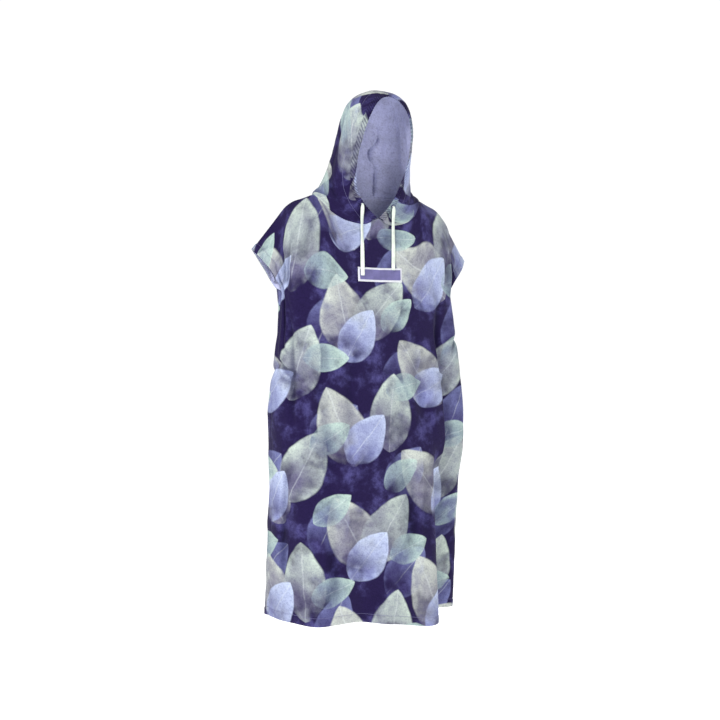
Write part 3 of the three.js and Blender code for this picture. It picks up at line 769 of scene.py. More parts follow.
class Sheet:
    """A node tree that is being filled, with short calls for the nodes this garment uses."""

    def __init__(self, tree: bpy.types.NodeTree) -> None:
        """Hold the tree."""
        self.tree = tree

    def put(self, socket: Socket, value: Socket | float | tuple[float, ...]) -> None:
        """Link a socket to another, or set its value."""
        if isinstance(value, bpy.types.NodeSocket):
            self.tree.links.new(value, socket)
        else:
            socket.default_value = value

    def node(
        self, kind: str, inputs: dict[str | int, object] | None = None, **settings: object
    ) -> bpy.types.Node:
        """Add a node.

        Args:
            kind: Its type, without the words ShaderNode.
            inputs: Values or sockets for its inputs.
            **settings: Its own settings.

        Returns:
            The node.
        """
        made = self.tree.nodes.new(f"ShaderNode{kind}")
        for name, value in settings.items():
            setattr(made, name, value)
        for name, value in (inputs or {}).items():
            self.put(made.inputs[name], value)
        return made

    def math(
        self, operation: str, a: Socket | float, b: Socket | float = 0.0, c: Socket | float = 0.0
    ) -> Socket:
        """Add a Math node and give its result."""
        return self.node("Math", {0: a, 1: b, 2: c}, operation=operation).outputs[0]

    def vector(self, operation: str, a: Socket | tuple, b: Socket | tuple = (0, 0, 0)) -> Socket:
        """Add a Vector Math node and give its vector."""
        return self.node("VectorMath", {0: a, 1: b}, operation=operation).outputs[0]

    def step(self, value: Socket, low: float, high: float) -> Socket:
        """Rise softly from 0 to 1 as a value goes from low to high."""
        node = self.node("MapRange", {"Value": value, "From Min": low, "From Max": high})
        node.interpolation_type = "SMOOTHSTEP"
        return node.outputs["Result"]

    def fall(self, value: Socket, low: float, high: float) -> Socket:
        """Drop softly from 1 to 0 as a value goes from low to high."""
        return self.math("SUBTRACT", 1.0, self.step(value, low, high))

    def blend(self, share: Socket | float, a: Socket | tuple, b: Socket | tuple, way: str = "MIX") -> Socket:
        """Mix two colours."""
        node = self.node("Mix", data_type="RGBA", blend_type=way)
        for index, value in ((0, share), (6, a), (7, b)):
            self.put(node.inputs[index], value)
        return node.outputs[2]

    def noise(self, place: Socket, scale: float, detail: float = 2.0, roughness: float = 0.5) -> Socket:
        """Add a Noise Texture and give its value."""
        inputs = {"Vector": place, "Scale": scale, "Detail": detail, "Roughness": roughness}
        return self.node("TexNoise", inputs).outputs["Fac"]

    def clouds(
        self, place: Socket, scale: float, detail: float, roughness: float, low: float, high: float
    ) -> Socket:
        """Make soft clouds of 0 to 1 out of a noise between two of its levels."""
        return self.step(self.noise(place, scale, detail, roughness), low, high)

    def map(self, name: str) -> Socket:
        """Read one of the piece's maps."""
        return self.node("UVMap", uv_map=name).outputs[0]

    def split(self, vector: Socket) -> tuple[Socket, ...]:
        """Take a vector apart."""
        return tuple(self.node("SeparateXYZ", {0: vector}).outputs)

    def join(self, *parts: Socket | float) -> Socket:
        """Put a vector together."""
        return self.node("CombineXYZ", dict(enumerate(parts))).outputs[0]

    def stitches(self, row: StitchRow) -> Socket:
        """Draw a row of stitches in from the edge, by the "hem" map."""
        run, inset, _ = self.split(self.map("hem"))
        run = self.math("FRACT", self.math("MULTIPLY", run, row.count))
        start, full, fade, end = row.dash
        dash = self.math("MULTIPLY", self.step(run, start, full), self.fall(run, fade, end))
        off = self.math("ABSOLUTE", self.math("SUBTRACT", inset, row.inset))
        return self.math("MULTIPLY", dash, self.fall(off, *row.thread))

    def weave_bump(self, shader: bpy.types.Node, height: Socket, distance: float, strength: float) -> None:
        """Raise the shader's surface by a height."""
        bump = self.node("Bump", {"Height": height, "Distance": distance, "Strength": strength})
        self.put(shader.inputs["Normal"], bump.outputs[0])


def new_material(name: str, constants: dict[str, object]) -> tuple[bpy.types.Material, Sheet, bpy.types.Node]:
    """Start a material.

    Args:
        name: The material's name.
        constants: Values for its shader's inputs.

    Returns:
        The material, its sheet and its shader.
    """
    material = bpy.data.materials.new(name)
    material.use_nodes = True
    shader = material.node_tree.nodes["Principled BSDF"]
    for label, value in constants.items():
        shader.inputs[label].default_value = value
    return material, Sheet(material.node_tree), shader


def group(
    name: str, inputs: dict[str, str], outputs: dict[str, str]
) -> tuple[Sheet, bpy.types.Node, bpy.types.Node]:
    """Start a node group.

    Args:
        name: The group's name.
        inputs: The name and socket type of each input.
        outputs: The name and socket type of each output.

    Returns:
        The sheet to fill, its input node and its output node.
    """
    tree = bpy.data.node_groups.new(name, "ShaderNodeTree")
    for label, kind in inputs.items():
        tree.interface.new_socket(label, in_out="INPUT", socket_type=f"NodeSocket{kind}")
    for label, kind in outputs.items():
        tree.interface.new_socket(label, in_out="OUTPUT", socket_type=f"NodeSocket{kind}")
    return Sheet(tree), tree.nodes.new("NodeGroupInput"), tree.nodes.new("NodeGroupOutput")


def srgb(red: int, green: int, blue: int) -> Colour:
    """Turn a colour of 0 to 255 into Blender's linear one."""
    shares = (red / 255, green / 255, blue / 255)
    return (*(v / 12.92 if v <= 0.04045 else ((v + 0.055) / 1.055) ** 2.4 for v in shares), 1.0)


def scaled(colour: Colour, share: float) -> Colour:
    """Make a colour darker or lighter."""
    return (*(min(1.0, v * share) for v in colour[:3]), 1.0)


@dataclass(frozen=True)
class Layer:
    """One scattering of leaves: their spacing, lean and half sizes in metres, and their washes."""

    cell: tuple[float, float]
    shift: tuple[float, float]
    lean: float
    half: tuple[float, float]
    pale: Colour
    deep: Colour
    cover: float
    seed: float


WIDE_CELL = (0.235, 0.27)


@dataclass(frozen=True)
class Print:
    """A generic print of broad watercolour leaves on an indigo ground."""

    ground: Colour = srgb(32, 23, 62)
    ground_light: Colour = srgb(74, 70, 122)
    rib: Colour = srgb(228, 236, 236)
    layers: tuple[Layer, ...] = (
        Layer(
            (0.2, 0.25), (0.05, 0.02), 0.5, (0.056, 0.08),
            srgb(120, 126, 174), srgb(62, 56, 106),
            0.76, 3.0,
        ),
        Layer(
            WIDE_CELL, (0.0, 0.0), -0.55, (0.07, 0.104),
            srgb(193, 199, 190), srgb(104, 100, 127),
            0.96, 1.0,
        ),
        Layer(
            WIDE_CELL, (0.12, 0.1), 0.35, (0.064, 0.1),
            srgb(189, 202, 192), srgb(106, 104, 130),
            0.95, 5.0,
        ),
        Layer(
            WIDE_CELL, (0.19, 0.17), 0.75, (0.053, 0.078),
            srgb(190, 202, 228), srgb(124, 130, 176),
            0.95, 2.0,
        ),
        Layer(
            (0.21, 0.2), (0.06, 0.15), 1.25, (0.038, 0.06),
            srgb(181, 204, 194), srgb(118, 133, 151),
            0.86, 4.0,
        ),
    )

    def leaf_group(self) -> bpy.types.NodeTree:
        """Make the group that draws one scattering of leaves from a place on the cut."""
        inputs = {label: "Vector" for label in ("Place", "Cell", "Shift", "Half")}
        inputs |= {label: "Float" for label in ("Lean", "Seed")}
        sheet, into, out = group("leaves", inputs, {"Mask": "Float", "Wash": "Float", "Rib": "Float"})
        place = into.outputs["Place"]
        across, along = self.leaf_place(sheet, into)
        body = sheet.math("SUBTRACT", 1.0, sheet.math("MULTIPLY", along, along))
        body = sheet.math("POWER", sheet.math("MAXIMUM", body, 0.0), 0.72)
        body = sheet.math("MULTIPLY", body, sheet.math("MULTIPLY_ADD", along, -0.22, 0.95))
        inside = sheet.math("SUBTRACT", body, sheet.math("ABSOLUTE", across))
        kept = sheet.clouds(place, 18.0, 2.0, 0.5, 0.36, 0.66)
        tip = sheet.step(along, -0.9, 0.3)
        kept = sheet.math("MULTIPLY_ADD", sheet.math("SUBTRACT", 1.0, tip), kept, tip)
        mask = sheet.math("MULTIPLY", sheet.step(inside, 0.0, 0.1), kept)
        rough = sheet.clouds(place, 40.0, 2.0, 0.5, 0.3, 0.62)
        edge = sheet.math("MULTIPLY", sheet.fall(inside, 0.04, 0.4), rough)
        cloud = sheet.clouds(place, 11.0, 5.0, 0.58, 0.36, 0.68)
        wash = sheet.math("MULTIPLY_ADD", edge, -0.34, sheet.math("MULTIPLY", cloud, 0.48))
        wash = sheet.math("MULTIPLY_ADD", sheet.step(along, 1.0, -0.9), 0.72, wash)
        rib = sheet.fall(sheet.math("ABSOLUTE", across), 0.0, 0.05)
        sheet.put(out.inputs["Mask"], mask)
        sheet.put(out.inputs["Wash"], sheet.node("Clamp", {0: wash}).outputs[0])
        sheet.put(out.inputs["Rib"], sheet.math("MULTIPLY", rib, mask))
        return sheet.tree

    def leaf_place(self, sheet: Sheet, into: bpy.types.Node) -> tuple[Socket, Socket]:
        """Find where a place lies on its cell's leaf, which chance moves and turns.

        Args:
            sheet: The group's sheet.
            into: The group's input node.

        Returns:
            The shares of the leaf's half width and half length, -1 to 1 on the leaf.
        """
        place = sheet.vector("ADD", into.outputs["Place"], into.outputs["Shift"])
        x, y, _ = sheet.split(sheet.vector("DIVIDE", place, into.outputs["Cell"]))
        column = sheet.math("FLOOR", x)
        dropped = sheet.math("MULTIPLY_ADD", column, 0.5, y)
        row = sheet.math("FLOOR", dropped)
        code = sheet.join(column, row, into.outputs["Seed"])
        chance = sheet.node("TexWhiteNoise", {"Vector": code}, noise_dimensions="3D")
        pick = sheet.node("SeparateColor", {0: chance.outputs["Color"]})
        local_x = sheet.math("SUBTRACT", sheet.math("SUBTRACT", x, column), 0.5)
        local_y = sheet.math("SUBTRACT", sheet.math("SUBTRACT", dropped, row), 0.5)
        local = sheet.vector("MULTIPLY", sheet.join(local_x, local_y), into.outputs["Cell"])
        jitter = sheet.vector("SUBTRACT", sheet.join(pick.outputs[0], pick.outputs[1]), (0.5, 0.5, 0))
        jitter = sheet.vector("MULTIPLY", jitter, (0.03, 0.03, 0))
        bleed = sheet.node("TexNoise", {"Vector": into.outputs["Place"], "Scale": 21.0, "Detail": 1.0})
        bleed = sheet.vector("SUBTRACT", bleed.outputs["Color"], (0.5, 0.5, 0.5))
        bleed = sheet.vector("MULTIPLY", bleed, (0.008, 0.008, 0))
        local = sheet.vector("ADD", sheet.vector("ADD", local, jitter), bleed)
        swing = sheet.math("SUBTRACT", pick.outputs[2], 0.5)
        angle = sheet.math("MULTIPLY_ADD", swing, 0.9, into.outputs["Lean"])
        turned = sheet.node("VectorRotate", {"Vector": local, "Angle": angle}, rotation_type="Z_AXIS")
        across, along, _ = sheet.split(sheet.vector("DIVIDE", turned.outputs[0], into.outputs["Half"]))
        return across, along

    def paint(self, sheet: Sheet, leaves: bpy.types.NodeTree) -> Socket:
        """Lay the ground and the layers of leaves in a material.

        Args:
            sheet: The material's sheet.
            leaves: The group that draws a scattering of leaves.

        Returns:
            The print's colour.
        """
        place = sheet.map("cut")
        colour = sheet.blend(sheet.clouds(place, 16.0, 5.0, 0.62, 0.47, 0.72), self.ground, self.ground_light)
        for layer in self.layers:
            inputs = {"Place": place, "Cell": (*layer.cell, 1), "Shift": (*layer.shift, 0)}
            inputs |= {"Lean": layer.lean, "Half": (*layer.half, 1), "Seed": layer.seed}
            drawn = sheet.node("Group", inputs, node_tree=leaves)
            wash = sheet.blend(drawn.outputs["Wash"], layer.pale, layer.deep)
            wash = sheet.blend(sheet.math("MULTIPLY", drawn.outputs["Rib"], 0.26), wash, self.rib)
            clear = sheet.clouds(place, 9.0 + layer.seed, 3.0, 0.6, 0.3, 0.52)
            cover = sheet.math("MULTIPLY_ADD", clear, 0.58, layer.cover - 0.58)
            colour = sheet.blend(sheet.math("MULTIPLY", drawn.outputs["Mask"], cover), colour, wash)
        return colour


class Towelling:
    """Looped towelling, printed on its right side and plain behind."""

    HEM_STITCHES = StitchRow(290.0, (0.08, 0.2, 0.78, 0.9), 0.0200, (0.0004, 0.0009))
    SHADER = {
        "Roughness": 0.95,
        "Specular IOR Level": 0.06,
        "Sheen Weight": 0.07,
        "Sheen Roughness": 0.55,
        "Sheen Tint": (0.8, 0.82, 0.95, 1),
    }

    def __init__(self) -> None:
        """Make the groups that the finishes share."""
        self.nap = self.nap_group()
        self.leaves = Print().leaf_group()

    def nap_group(self) -> bpy.types.NodeTree:
        """Make the group for the loops' relief and their fine light and dark."""
        inputs = {"Place": "Vector", "Loop": "Float"}
        sheet, into, out = group("nap", inputs, {"Height": "Float", "Shade": "Float"})
        place = sheet.vector("DIVIDE", into.outputs["Place"], sheet.join(*[into.outputs["Loop"]] * 3))
        voronoi = {"Vector": place, "Scale": 1.0, "Randomness": 0.9}
        loops = sheet.node("TexVoronoi", voronoi, feature="SMOOTH_F1")
        loop = sheet.math("SUBTRACT", 1.0, loops.outputs["Distance"])
        tufts = sheet.noise(place, 0.28, 3.0, 0.6)
        mottle = sheet.noise(place, 0.11, 2.0, 0.5)
        fine = sheet.math("MULTIPLY_ADD", tufts, 0.74, sheet.math("MULTIPLY", loop, 0.2))
        height = sheet.math("MULTIPLY_ADD", tufts, 0.9, sheet.math("MULTIPLY", loop, 0.6))
        sheet.put(out.inputs["Height"], height)
        sheet.put(out.inputs["Shade"], sheet.math("MULTIPLY_ADD", mottle, 0.3, fine))
        return sheet.tree

    def dress(self, name: str, colour: Print | Colour, loop: float) -> bpy.types.Material:
        """Make a towelling material, with shade painted into its colour where the "fold" map says that a
        crease is deep.

        Args:
            name: The material's name.
            colour: The print, or a plain colour.
            loop: The size of a loop, in metres.

        Returns:
            The material.
        """
        material, sheet, shader = new_material(name, self.SHADER)
        place = sheet.map("cut")
        nap = sheet.node("Group", {"Place": place, "Loop": loop}, node_tree=self.nap)
        printed = isinstance(colour, Print)
        base = colour.paint(sheet, self.leaves) if printed else self.plain(sheet, place, colour)
        dark = sheet.blend(1.0, base, (0.66, 0.65, 0.72, 1), "MULTIPLY")
        base = sheet.blend(sheet.step(nap.outputs["Shade"], 0.4, 0.74), dark, base)
        stitch = sheet.stitches(self.HEM_STITCHES)
        base = sheet.blend(sheet.math("MULTIPLY", stitch, 0.55), base, srgb(120, 118, 160))
        # Painted shade: the colour darkens where a crease runs deep, where shade would fall.
        deep = sheet.step(sheet.split(sheet.map("fold"))[0], 1.0, 9.0)
        base = sheet.blend(deep, base, sheet.blend(1.0, base, (0.4, 0.4, 0.5, 1), "MULTIPLY"))
        sheet.put(shader.inputs["Base Color"], base)
        height = sheet.math("MULTIPLY_ADD", stitch, -0.5, nap.outputs["Height"])
        sheet.weave_bump(shader, height, 0.0009, 0.9)
        return material

    def plain(self, sheet: Sheet, place: Socket, colour: Colour) -> Socket:
        """Make a plain dyed colour, a little uneven."""
        cloud = sheet.clouds(place, 13.0, 4.0, 0.6, 0.35, 0.68)
        return sheet.blend(cloud, scaled(colour, 0.86), scaled(colour, 1.12))


@dataclass(frozen=True)
class Woven:
    """A plain woven tape or cloth, with a dyed field inside a woven frame if it has a field colour."""

    name: str
    light: Colour
    dark: Colour
    pitch: float
    depth: float
    field_colour: Colour | None = None
    frame_stitches: StitchRow = StitchRow(420.0, (0.1, 0.2, 0.7, 0.8), 0.0022, (0.0002, 0.0006))

    def dress(self) -> bpy.types.Material:
        """Make the material: a plain weave with uneven threads, from the piece's own map."""
        constants = {"Roughness": 0.82, "Specular IOR Level": 0.2, "Sheen Weight": 0.15}
        material, sheet, shader = new_material(self.name, constants)
        place = sheet.map("cut")
        turns = [sheet.math("MULTIPLY", part, math.pi / self.pitch) for part in sheet.split(place)[:2]]
        weave = sheet.math("MULTIPLY", *(sheet.math("SINE", turn) for turn in turns))
        height = sheet.math("MULTIPLY_ADD", sheet.noise(place, 900.0), 0.5, sheet.math("ABSOLUTE", weave))
        stain = sheet.clouds(place, 60.0, 3.0, 0.5, 0.3, 0.75)
        threads = sheet.math("MULTIPLY", sheet.step(height, 0.1, 0.9), 0.6)
        colour = sheet.blend(sheet.math("MULTIPLY_ADD", stain, 0.4, threads), self.dark, self.light)
        if self.field_colour is not None:
            colour = self.framed(sheet, place, colour)
        sheet.put(shader.inputs["Base Color"], colour)
        sheet.weave_bump(shader, height, self.depth, 0.7)
        return material

    def framed(self, sheet: Sheet, place: Socket, woven: Socket) -> Socket:
        """Keep the woven colour for a frame along the edge, dye the field inside it and sew the frame down.

        Args:
            sheet: The material's sheet.
            place: The place on the cut.
            woven: The woven colour.

        Returns:
            The colour with its field.
        """
        cloud = sheet.clouds(place, 30.0, 4.0, 0.6, 0.35, 0.7)
        dyed = sheet.blend(cloud, scaled(self.field_colour, 0.72), self.field_colour)
        inside = sheet.step(sheet.split(sheet.map("hem"))[1], 0.0040, 0.0044)
        thread = sheet.math("MULTIPLY", sheet.stitches(self.frame_stitches), 0.6)
        return sheet.blend(thread, sheet.blend(inside, woven, dyed), srgb(150, 152, 178))


# The garment


def finish_piece(piece: bpy.types.Object, finish: Finish, *nodes: str) -> bpy.types.Object:
    """Let a piece ride with the garment and stand for its solids."""
    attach(piece, "root")
    if nodes:
        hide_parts(*nodes)
    LOG.info("%s: %d faces", piece.name, len(piece.data.polygons))
    return piece


@dataclass
class Body:
    """The front and back panels and the two hood halves, sewn together."""

    towelling: Towelling
    cuts: dict[Face, BodyCut] = field(default_factory=lambda: {face: BodyCut(face) for face in Face})
    hoods: dict[Side, HoodCut] = field(default_factory=lambda: {side: HoodCut(side) for side in Side})
    casing_width: float = 16.3
    hood_levels: int = 110

    def downs(self) -> Grid:
        """List the lengths down at which a panel has a row of points, closer at its seams and hem."""
        top = np.array([0, 1.5, 3.2, 5.2, 8, 11.5])
        middle = np.concatenate([np.linspace(16, 196, 42), np.linspace(UNDERARM, 996, 158)])
        return np.concatenate([top, middle, [999, 1000.5, 1002, 1003.5, 1007, 1013, 1019, CUT_LENGTH]])

    def neck_angles(self, face: Face) -> Grid:
        """List the angles round the neck hole at which a panel and the hood share points, from the centre."""
        if face is Face.FRONT:
            return np.concatenate([[7.0, 7.8, 9.0, 10.6], np.linspace(12.6, 87, 34), [88.6, 90]])
        return np.concatenate([[90, 91.4, 93], np.linspace(95.2, 176, 38), [177.6, 178.8, 180]])

    def shares(self, face: Face) -> Grid:
        """List the places across a panel at which it has a column of points."""
        angles = self.neck_angles(face)
        neck = angles / 90 * NECK_SHARE if face is Face.FRONT else (180 - angles[::-1]) / 90 * NECK_SHARE
        inner = np.linspace(0, neck[0], 5)[:-1] if face is Face.FRONT else neck[:0]
        outer = np.concatenate([np.linspace(NECK_SHARE, 0.972, 52)[1:], [0.979, 0.9855, 0.991, 0.9955, 1]])
        half = np.concatenate([inner, neck, outer])
        return np.concatenate([-half[:0:-1], half])

    def panel(self, face: Face) -> Cloth:
        """Lay out a panel's cloth."""
        s, downs = self.shares(face), self.downs()
        points, normals, folds = self.cuts[face].surface(s, downs)
        across = arc_lengths(points, 1)
        centre = int(np.argmin(np.abs(s)))
        across = across - across[:, centre : centre + 1]
        length = np.broadcast_to(downs[:, None], across.shape)
        if face is Face.BACK:
            across = self.seam_shift(across[:, :1], downs) - across
        cut = np.stack([across * MM, -length * MM], -1)
        return Cloth(f"{face.value}_panel_cloth", points, normals, cut, folds, flip=face is Face.BACK)

    def seam_shift(self, edge: Grid, downs: Grid) -> Grid:
        """Find where the back's print starts so that it runs on from the front's at the right side seam.

        Args:
            edge: How far the back's right edge lies from its middle, for each length down.
            downs: The lengths down.

        Returns:
            The shift for each length down, the same for all of them above the underarm.
        """
        front = arc_lengths(self.cuts[Face.FRONT].surface(np.linspace(-1, 0, 60), downs)[0], 1)[:, -1:]
        shift = edge - front
        return np.where(downs[:, None] < UNDERARM, shift[np.searchsorted(downs, UNDERARM)], shift)

    def hood(self, side: Side) -> Cloth:
        """Lay out a hood half's cloth."""
        cut = self.hoods[side]
        angles = np.concatenate([self.neck_angles(Face.FRONT), self.neck_angles(Face.BACK)[1:]])
        rounds = 1 - (180 - angles) / cut.turn[0]
        share = (rounds - rounds[0]) / (1 - rounds[0])
        levels = np.concatenate([[0, 0.004, 0.009, 0.016], np.linspace(0.025, 1, self.hood_levels)])
        start = cut.start(levels, self.casing_width)
        start[0] = rounds[0]
        round_ = mix(start[:, None], 1.0, share[None])
        level = np.broadcast_to(levels[:, None], round_.shape)
        points = cut.points(round_, level)
        step = 0.004
        along = cut.points(round_ + step, level) - cut.points(round_ - step, level)
        rise = cut.points(round_, level + step) - cut.points(round_, level - step)
        outward = unit(np.cross(along, rise)) * side.value
        across, up = arc_lengths(points, 1), arc_lengths(points, 0)
        normals = self.crown(outward)
        fine = self.hood_creases(side, across, up, level)
        points = points - normals * fine[..., None]
        place = np.stack([(across[:, -1:] - across) * side.value, up], -1) * MM + HOOD_PRINT
        name = f"hood_{side.name.lower()}_cloth"
        return Cloth(name, points, normals, place, fine, flip=side is Side.LEFT)

    def crown(self, normals: Grid) -> Grid:
        """Mend the normals of the last row, where the hood's level lines close."""
        mended = normals.copy()
        mended[-1] = normals[-2]
        return mended

    def hood_creases(self, side: Side, across: Grid, up: Grid, level: Grid) -> Grid:
        """Say how deep the hood's folds and the casing's gathers run at each place."""
        creases = (
            Crease((58, 40), (86, 250), 3.4, 13, 8, 0.2),
            Crease((120, 30), (150, 220), 3.0, 14, -9, -0.2),
            Crease((30, 24), (70, 90), 2.4, 9, 4, 0.3),
            Crease((176, 20), (196, 160), 2.6, 12, 6, 0.2),
            Crease((20, 180), (64, 260), 2.0, 9, -4, 0.2),
        )
        shift = 0 if side is Side.RIGHT else 14
        fine = sum(crease.at(across - shift, up) for crease in creases)
        back = across[:, -1:] - across
        behind = (
            Crease((37, 213), (55, 186), -4.6, 3.6, 4, 0.3),
            Crease((55, 190), (44, 152), -6.4, 3.6, 6, 0.4),
            Crease((45, 155), (37, 130), -4.0, 3.4, -1, 0.3),
            Crease((36, 142), (43, 104), -7.0, 3.6, -3, 0.4),
            Crease((43, 110), (55, 92), -3.4, 3.8, 1, 0.3),
            Crease((54, 100), (50, -10), -7.4, 3.8, 2, 0.4),
            Crease((66, 92), (70, 10), 3.0, 8, -3, 0.3),
            Crease((24, 240), (22, 120), 2.2, 9, 5, 0.2),
            Crease((84, 170), (76, 50), 2.8, 11, -5, 0.3),
        )
        if side is Side.RIGHT:
            fine = fine + 0.6 * sum(crease.at(back + 16, up * 0.94) for crease in behind)
        else:
            fine = fine + sum(crease.at(back, up) for crease in behind)
        phase = 0.42 * across + 1.5 * ripple(across, up, 60, 41 + side.value)
        gathers = np.sin(2 * math.pi * GATHERS * level + phase)
        fine = 1.4 * fine + 1.1 * gathers * np.exp(-((across / 14) ** 2))
        for height, length, seed in ((0.8, 80, 43), (0.35, 30, 45)):
            fine = fine + height * ripple(across, up, length, seed + side.value)
        distance = np.minimum(np.minimum(up, across[:, -1:] - across), up[-1:] - up)
        return fine * smooth(distance / 12)

    def make(self) -> dict[str, bpy.types.Object]:
        """Make the four pieces.

        Returns:
            Their objects, by the node that each stands for.
        """
        pieces = [*(self.panel(face) for face in Face), *(self.hood(side) for side in Side)]
        seams: dict[tuple[int, ...], list[Grid]] = defaultdict(list)
        for cloth in pieces:
            cloth.add_to(seams)
        outside = self.towelling.dress("printed towelling", Print(), LOOP)
        inside = self.towelling.dress("plain reverse", srgb(186, 189, 219), 0.0014)
        made = {}
        for cloth in pieces:
            cloth.meet(seams)
            node = cloth.name.removesuffix("_cloth")
            piece = cloth.parts().build(cloth.name, [outside, inside])
            made[node] = finish_piece(piece, Finish.TOWELLING, node)
        return made


@dataclass
class Casing:
    """The gathered strip round the face, one half of it."""

    side: Side
    hood: HoodCut
    width: float = 16.0
    full: float = 6.4
    gathers: int = GATHERS
    steps_a_gather: int = 9
    around: int = 32
    slant: float = 5.5

    def make(self, cloth: bpy.types.Material) -> bpy.types.Object:
        """Make the gathered roll.

        Args:
            cloth: Its towelling.

        Returns:
            The object.
        """
        first = 1 / 90
        levels = np.linspace(first, 1, self.gathers * self.steps_a_gather)
        face = self.hood.points(np.zeros_like(levels), levels)
        behind = self.hood.points(self.hood.start(levels, self.width + 0.3), levels)
        step = 0.004
        high = np.minimum(levels + step, 1)
        low = high - 2 * step
        along = unit(self.hood.points(np.zeros_like(high), high) - self.hood.points(np.zeros_like(low), low))
        forward = unit(face - behind)
        normal = unit(np.cross(along, forward)) * self.side.value
        middle = (face + behind) / 2
        half_width = np.linalg.norm(face - behind, axis=-1)[:, None] / 2
        turn = np.linspace(0, 2 * math.pi, self.around, endpoint=False)
        flat = bent(np.cos(turn), 0.75)
        thick = bent(np.sin(turn), 0.7)
        chance = np.random.default_rng(7 + self.side.value)
        heights = chance.uniform(0.45, 1.1, self.gathers + 1)
        uneven = np.interp(np.linspace(0, self.gathers, len(levels)), np.arange(self.gathers + 1), heights)
        phase = levels[:, None] * self.gathers * 2 * math.pi + self.slant * flat[None] + 2.2 * uneven[:, None]
        ridge = 0.5 + 0.5 * np.sin(phase) * np.clip(uneven[:, None] * 1.25, 0.5, 1)
        depth = self.full / 2 * (0.4 + 0.7 * ridge * uneven[:, None])
        reach = half_width * (0.91 + 0.08 * ridge)
        points = (
            middle[:, None]
            + forward[:, None] * (reach * flat[None])[..., None]
            + normal[:, None] * (depth * thick[None])[..., None]
        )
        points[-1, :, 0] = 0
        closed, faces = tube(points, flip=self.side is Side.RIGHT)
        up = arc_lengths(behind[:, None], 0)[:, 0]
        columns, rows = np.meshgrid(np.linspace(0, 1, 60), levels)
        deep = arc_lengths(self.hood.points(columns, rows), 1)[:, -1]
        across = -(deep[:, None] - self.width * (0.5 - 0.5 * flat[None])) * self.side.value
        place = np.stack(np.broadcast_arrays(-across, up[:, None]), -1).reshape(-1, 2) * MM + HOOD_PRINT
        place = np.vstack([place, place[0], place[-1]])
        # How deep each gather's valley lies, which the material turns into painted shade in the valleys.
        valley_shade = np.append(((1 - ridge) * np.ones_like(across)).ravel() * 9, [4, 4])
        maps = {
            "cut": place,
            "hem": np.full_like(place, 0.5),
            "fold": np.column_stack([valley_shade, np.zeros(len(place))]),
        }
        parts = MeshParts(closed, faces, np.zeros(len(faces)), maps)
        piece = parts.build(f"casing_{self.side.name.lower()}_cloth", [cloth])
        finish_piece(piece, Finish.CASING, f"casing_{self.side.name.lower()}")
        return piece


ROUTES = {
    Side.RIGHT: (
        (-45.8, -60.5, -21.9),
        (-46.0, -63.0, -22.3),
        (-46.3, -64.8, -24.0),
        (-46.7, -65.4, -28.0),
        (-47.2, -65.3, -36.0),
        (-47.8, -65.0, -47.0),
        (-48.4, -64.9, -60.0),
        (-48.9, -65.4, -74.0),
        (-49.4, -66.6, -88.0),
        (-49.9, -68.2, -102.0),
        (-50.3, -69.8, -117.0),
        (-50.7, -71.1, -132.0),
        (-51.0, -72.1, -147.0),
        (-51.3, -72.8, -161.0),
        (-51.4, -73.4, -174.0),
        (-51.5, -74.1, -186.0),
        (-51.5, -74.7, -196.0),
        (-51.5, -75.1, -204.0),
    ),
    Side.LEFT: (
        (43.7, -60.7, -24.5),
        (43.8, -63.2, -24.9),
        (43.8, -65.0, -26.6),
        (43.6, -65.6, -30.5),
        (43.2, -65.5, -38.0),
        (42.7, -65.2, -48.0),
        (42.1, -65.1, -60.0),
        (41.5, -65.5, -73.0),
        (40.9, -66.6, -87.0),
        (40.3, -68.2, -101.0),
        (39.7, -69.8, -115.0),
        (39.1, -71.2, -129.0),
        (38.5, -72.2, -143.0),
        (38.0, -72.9, -156.0),
        (37.6, -73.4, -168.0),
        (37.3, -73.9, -178.0),
        (37.0, -74.5, -188.0),
    ),
}
TURNS = {Side.RIGHT: (0, -14, -29, -30, -14, -4, 0, 0), Side.LEFT: (0, -16, -24, -19, -12, -8, -8, -8)}


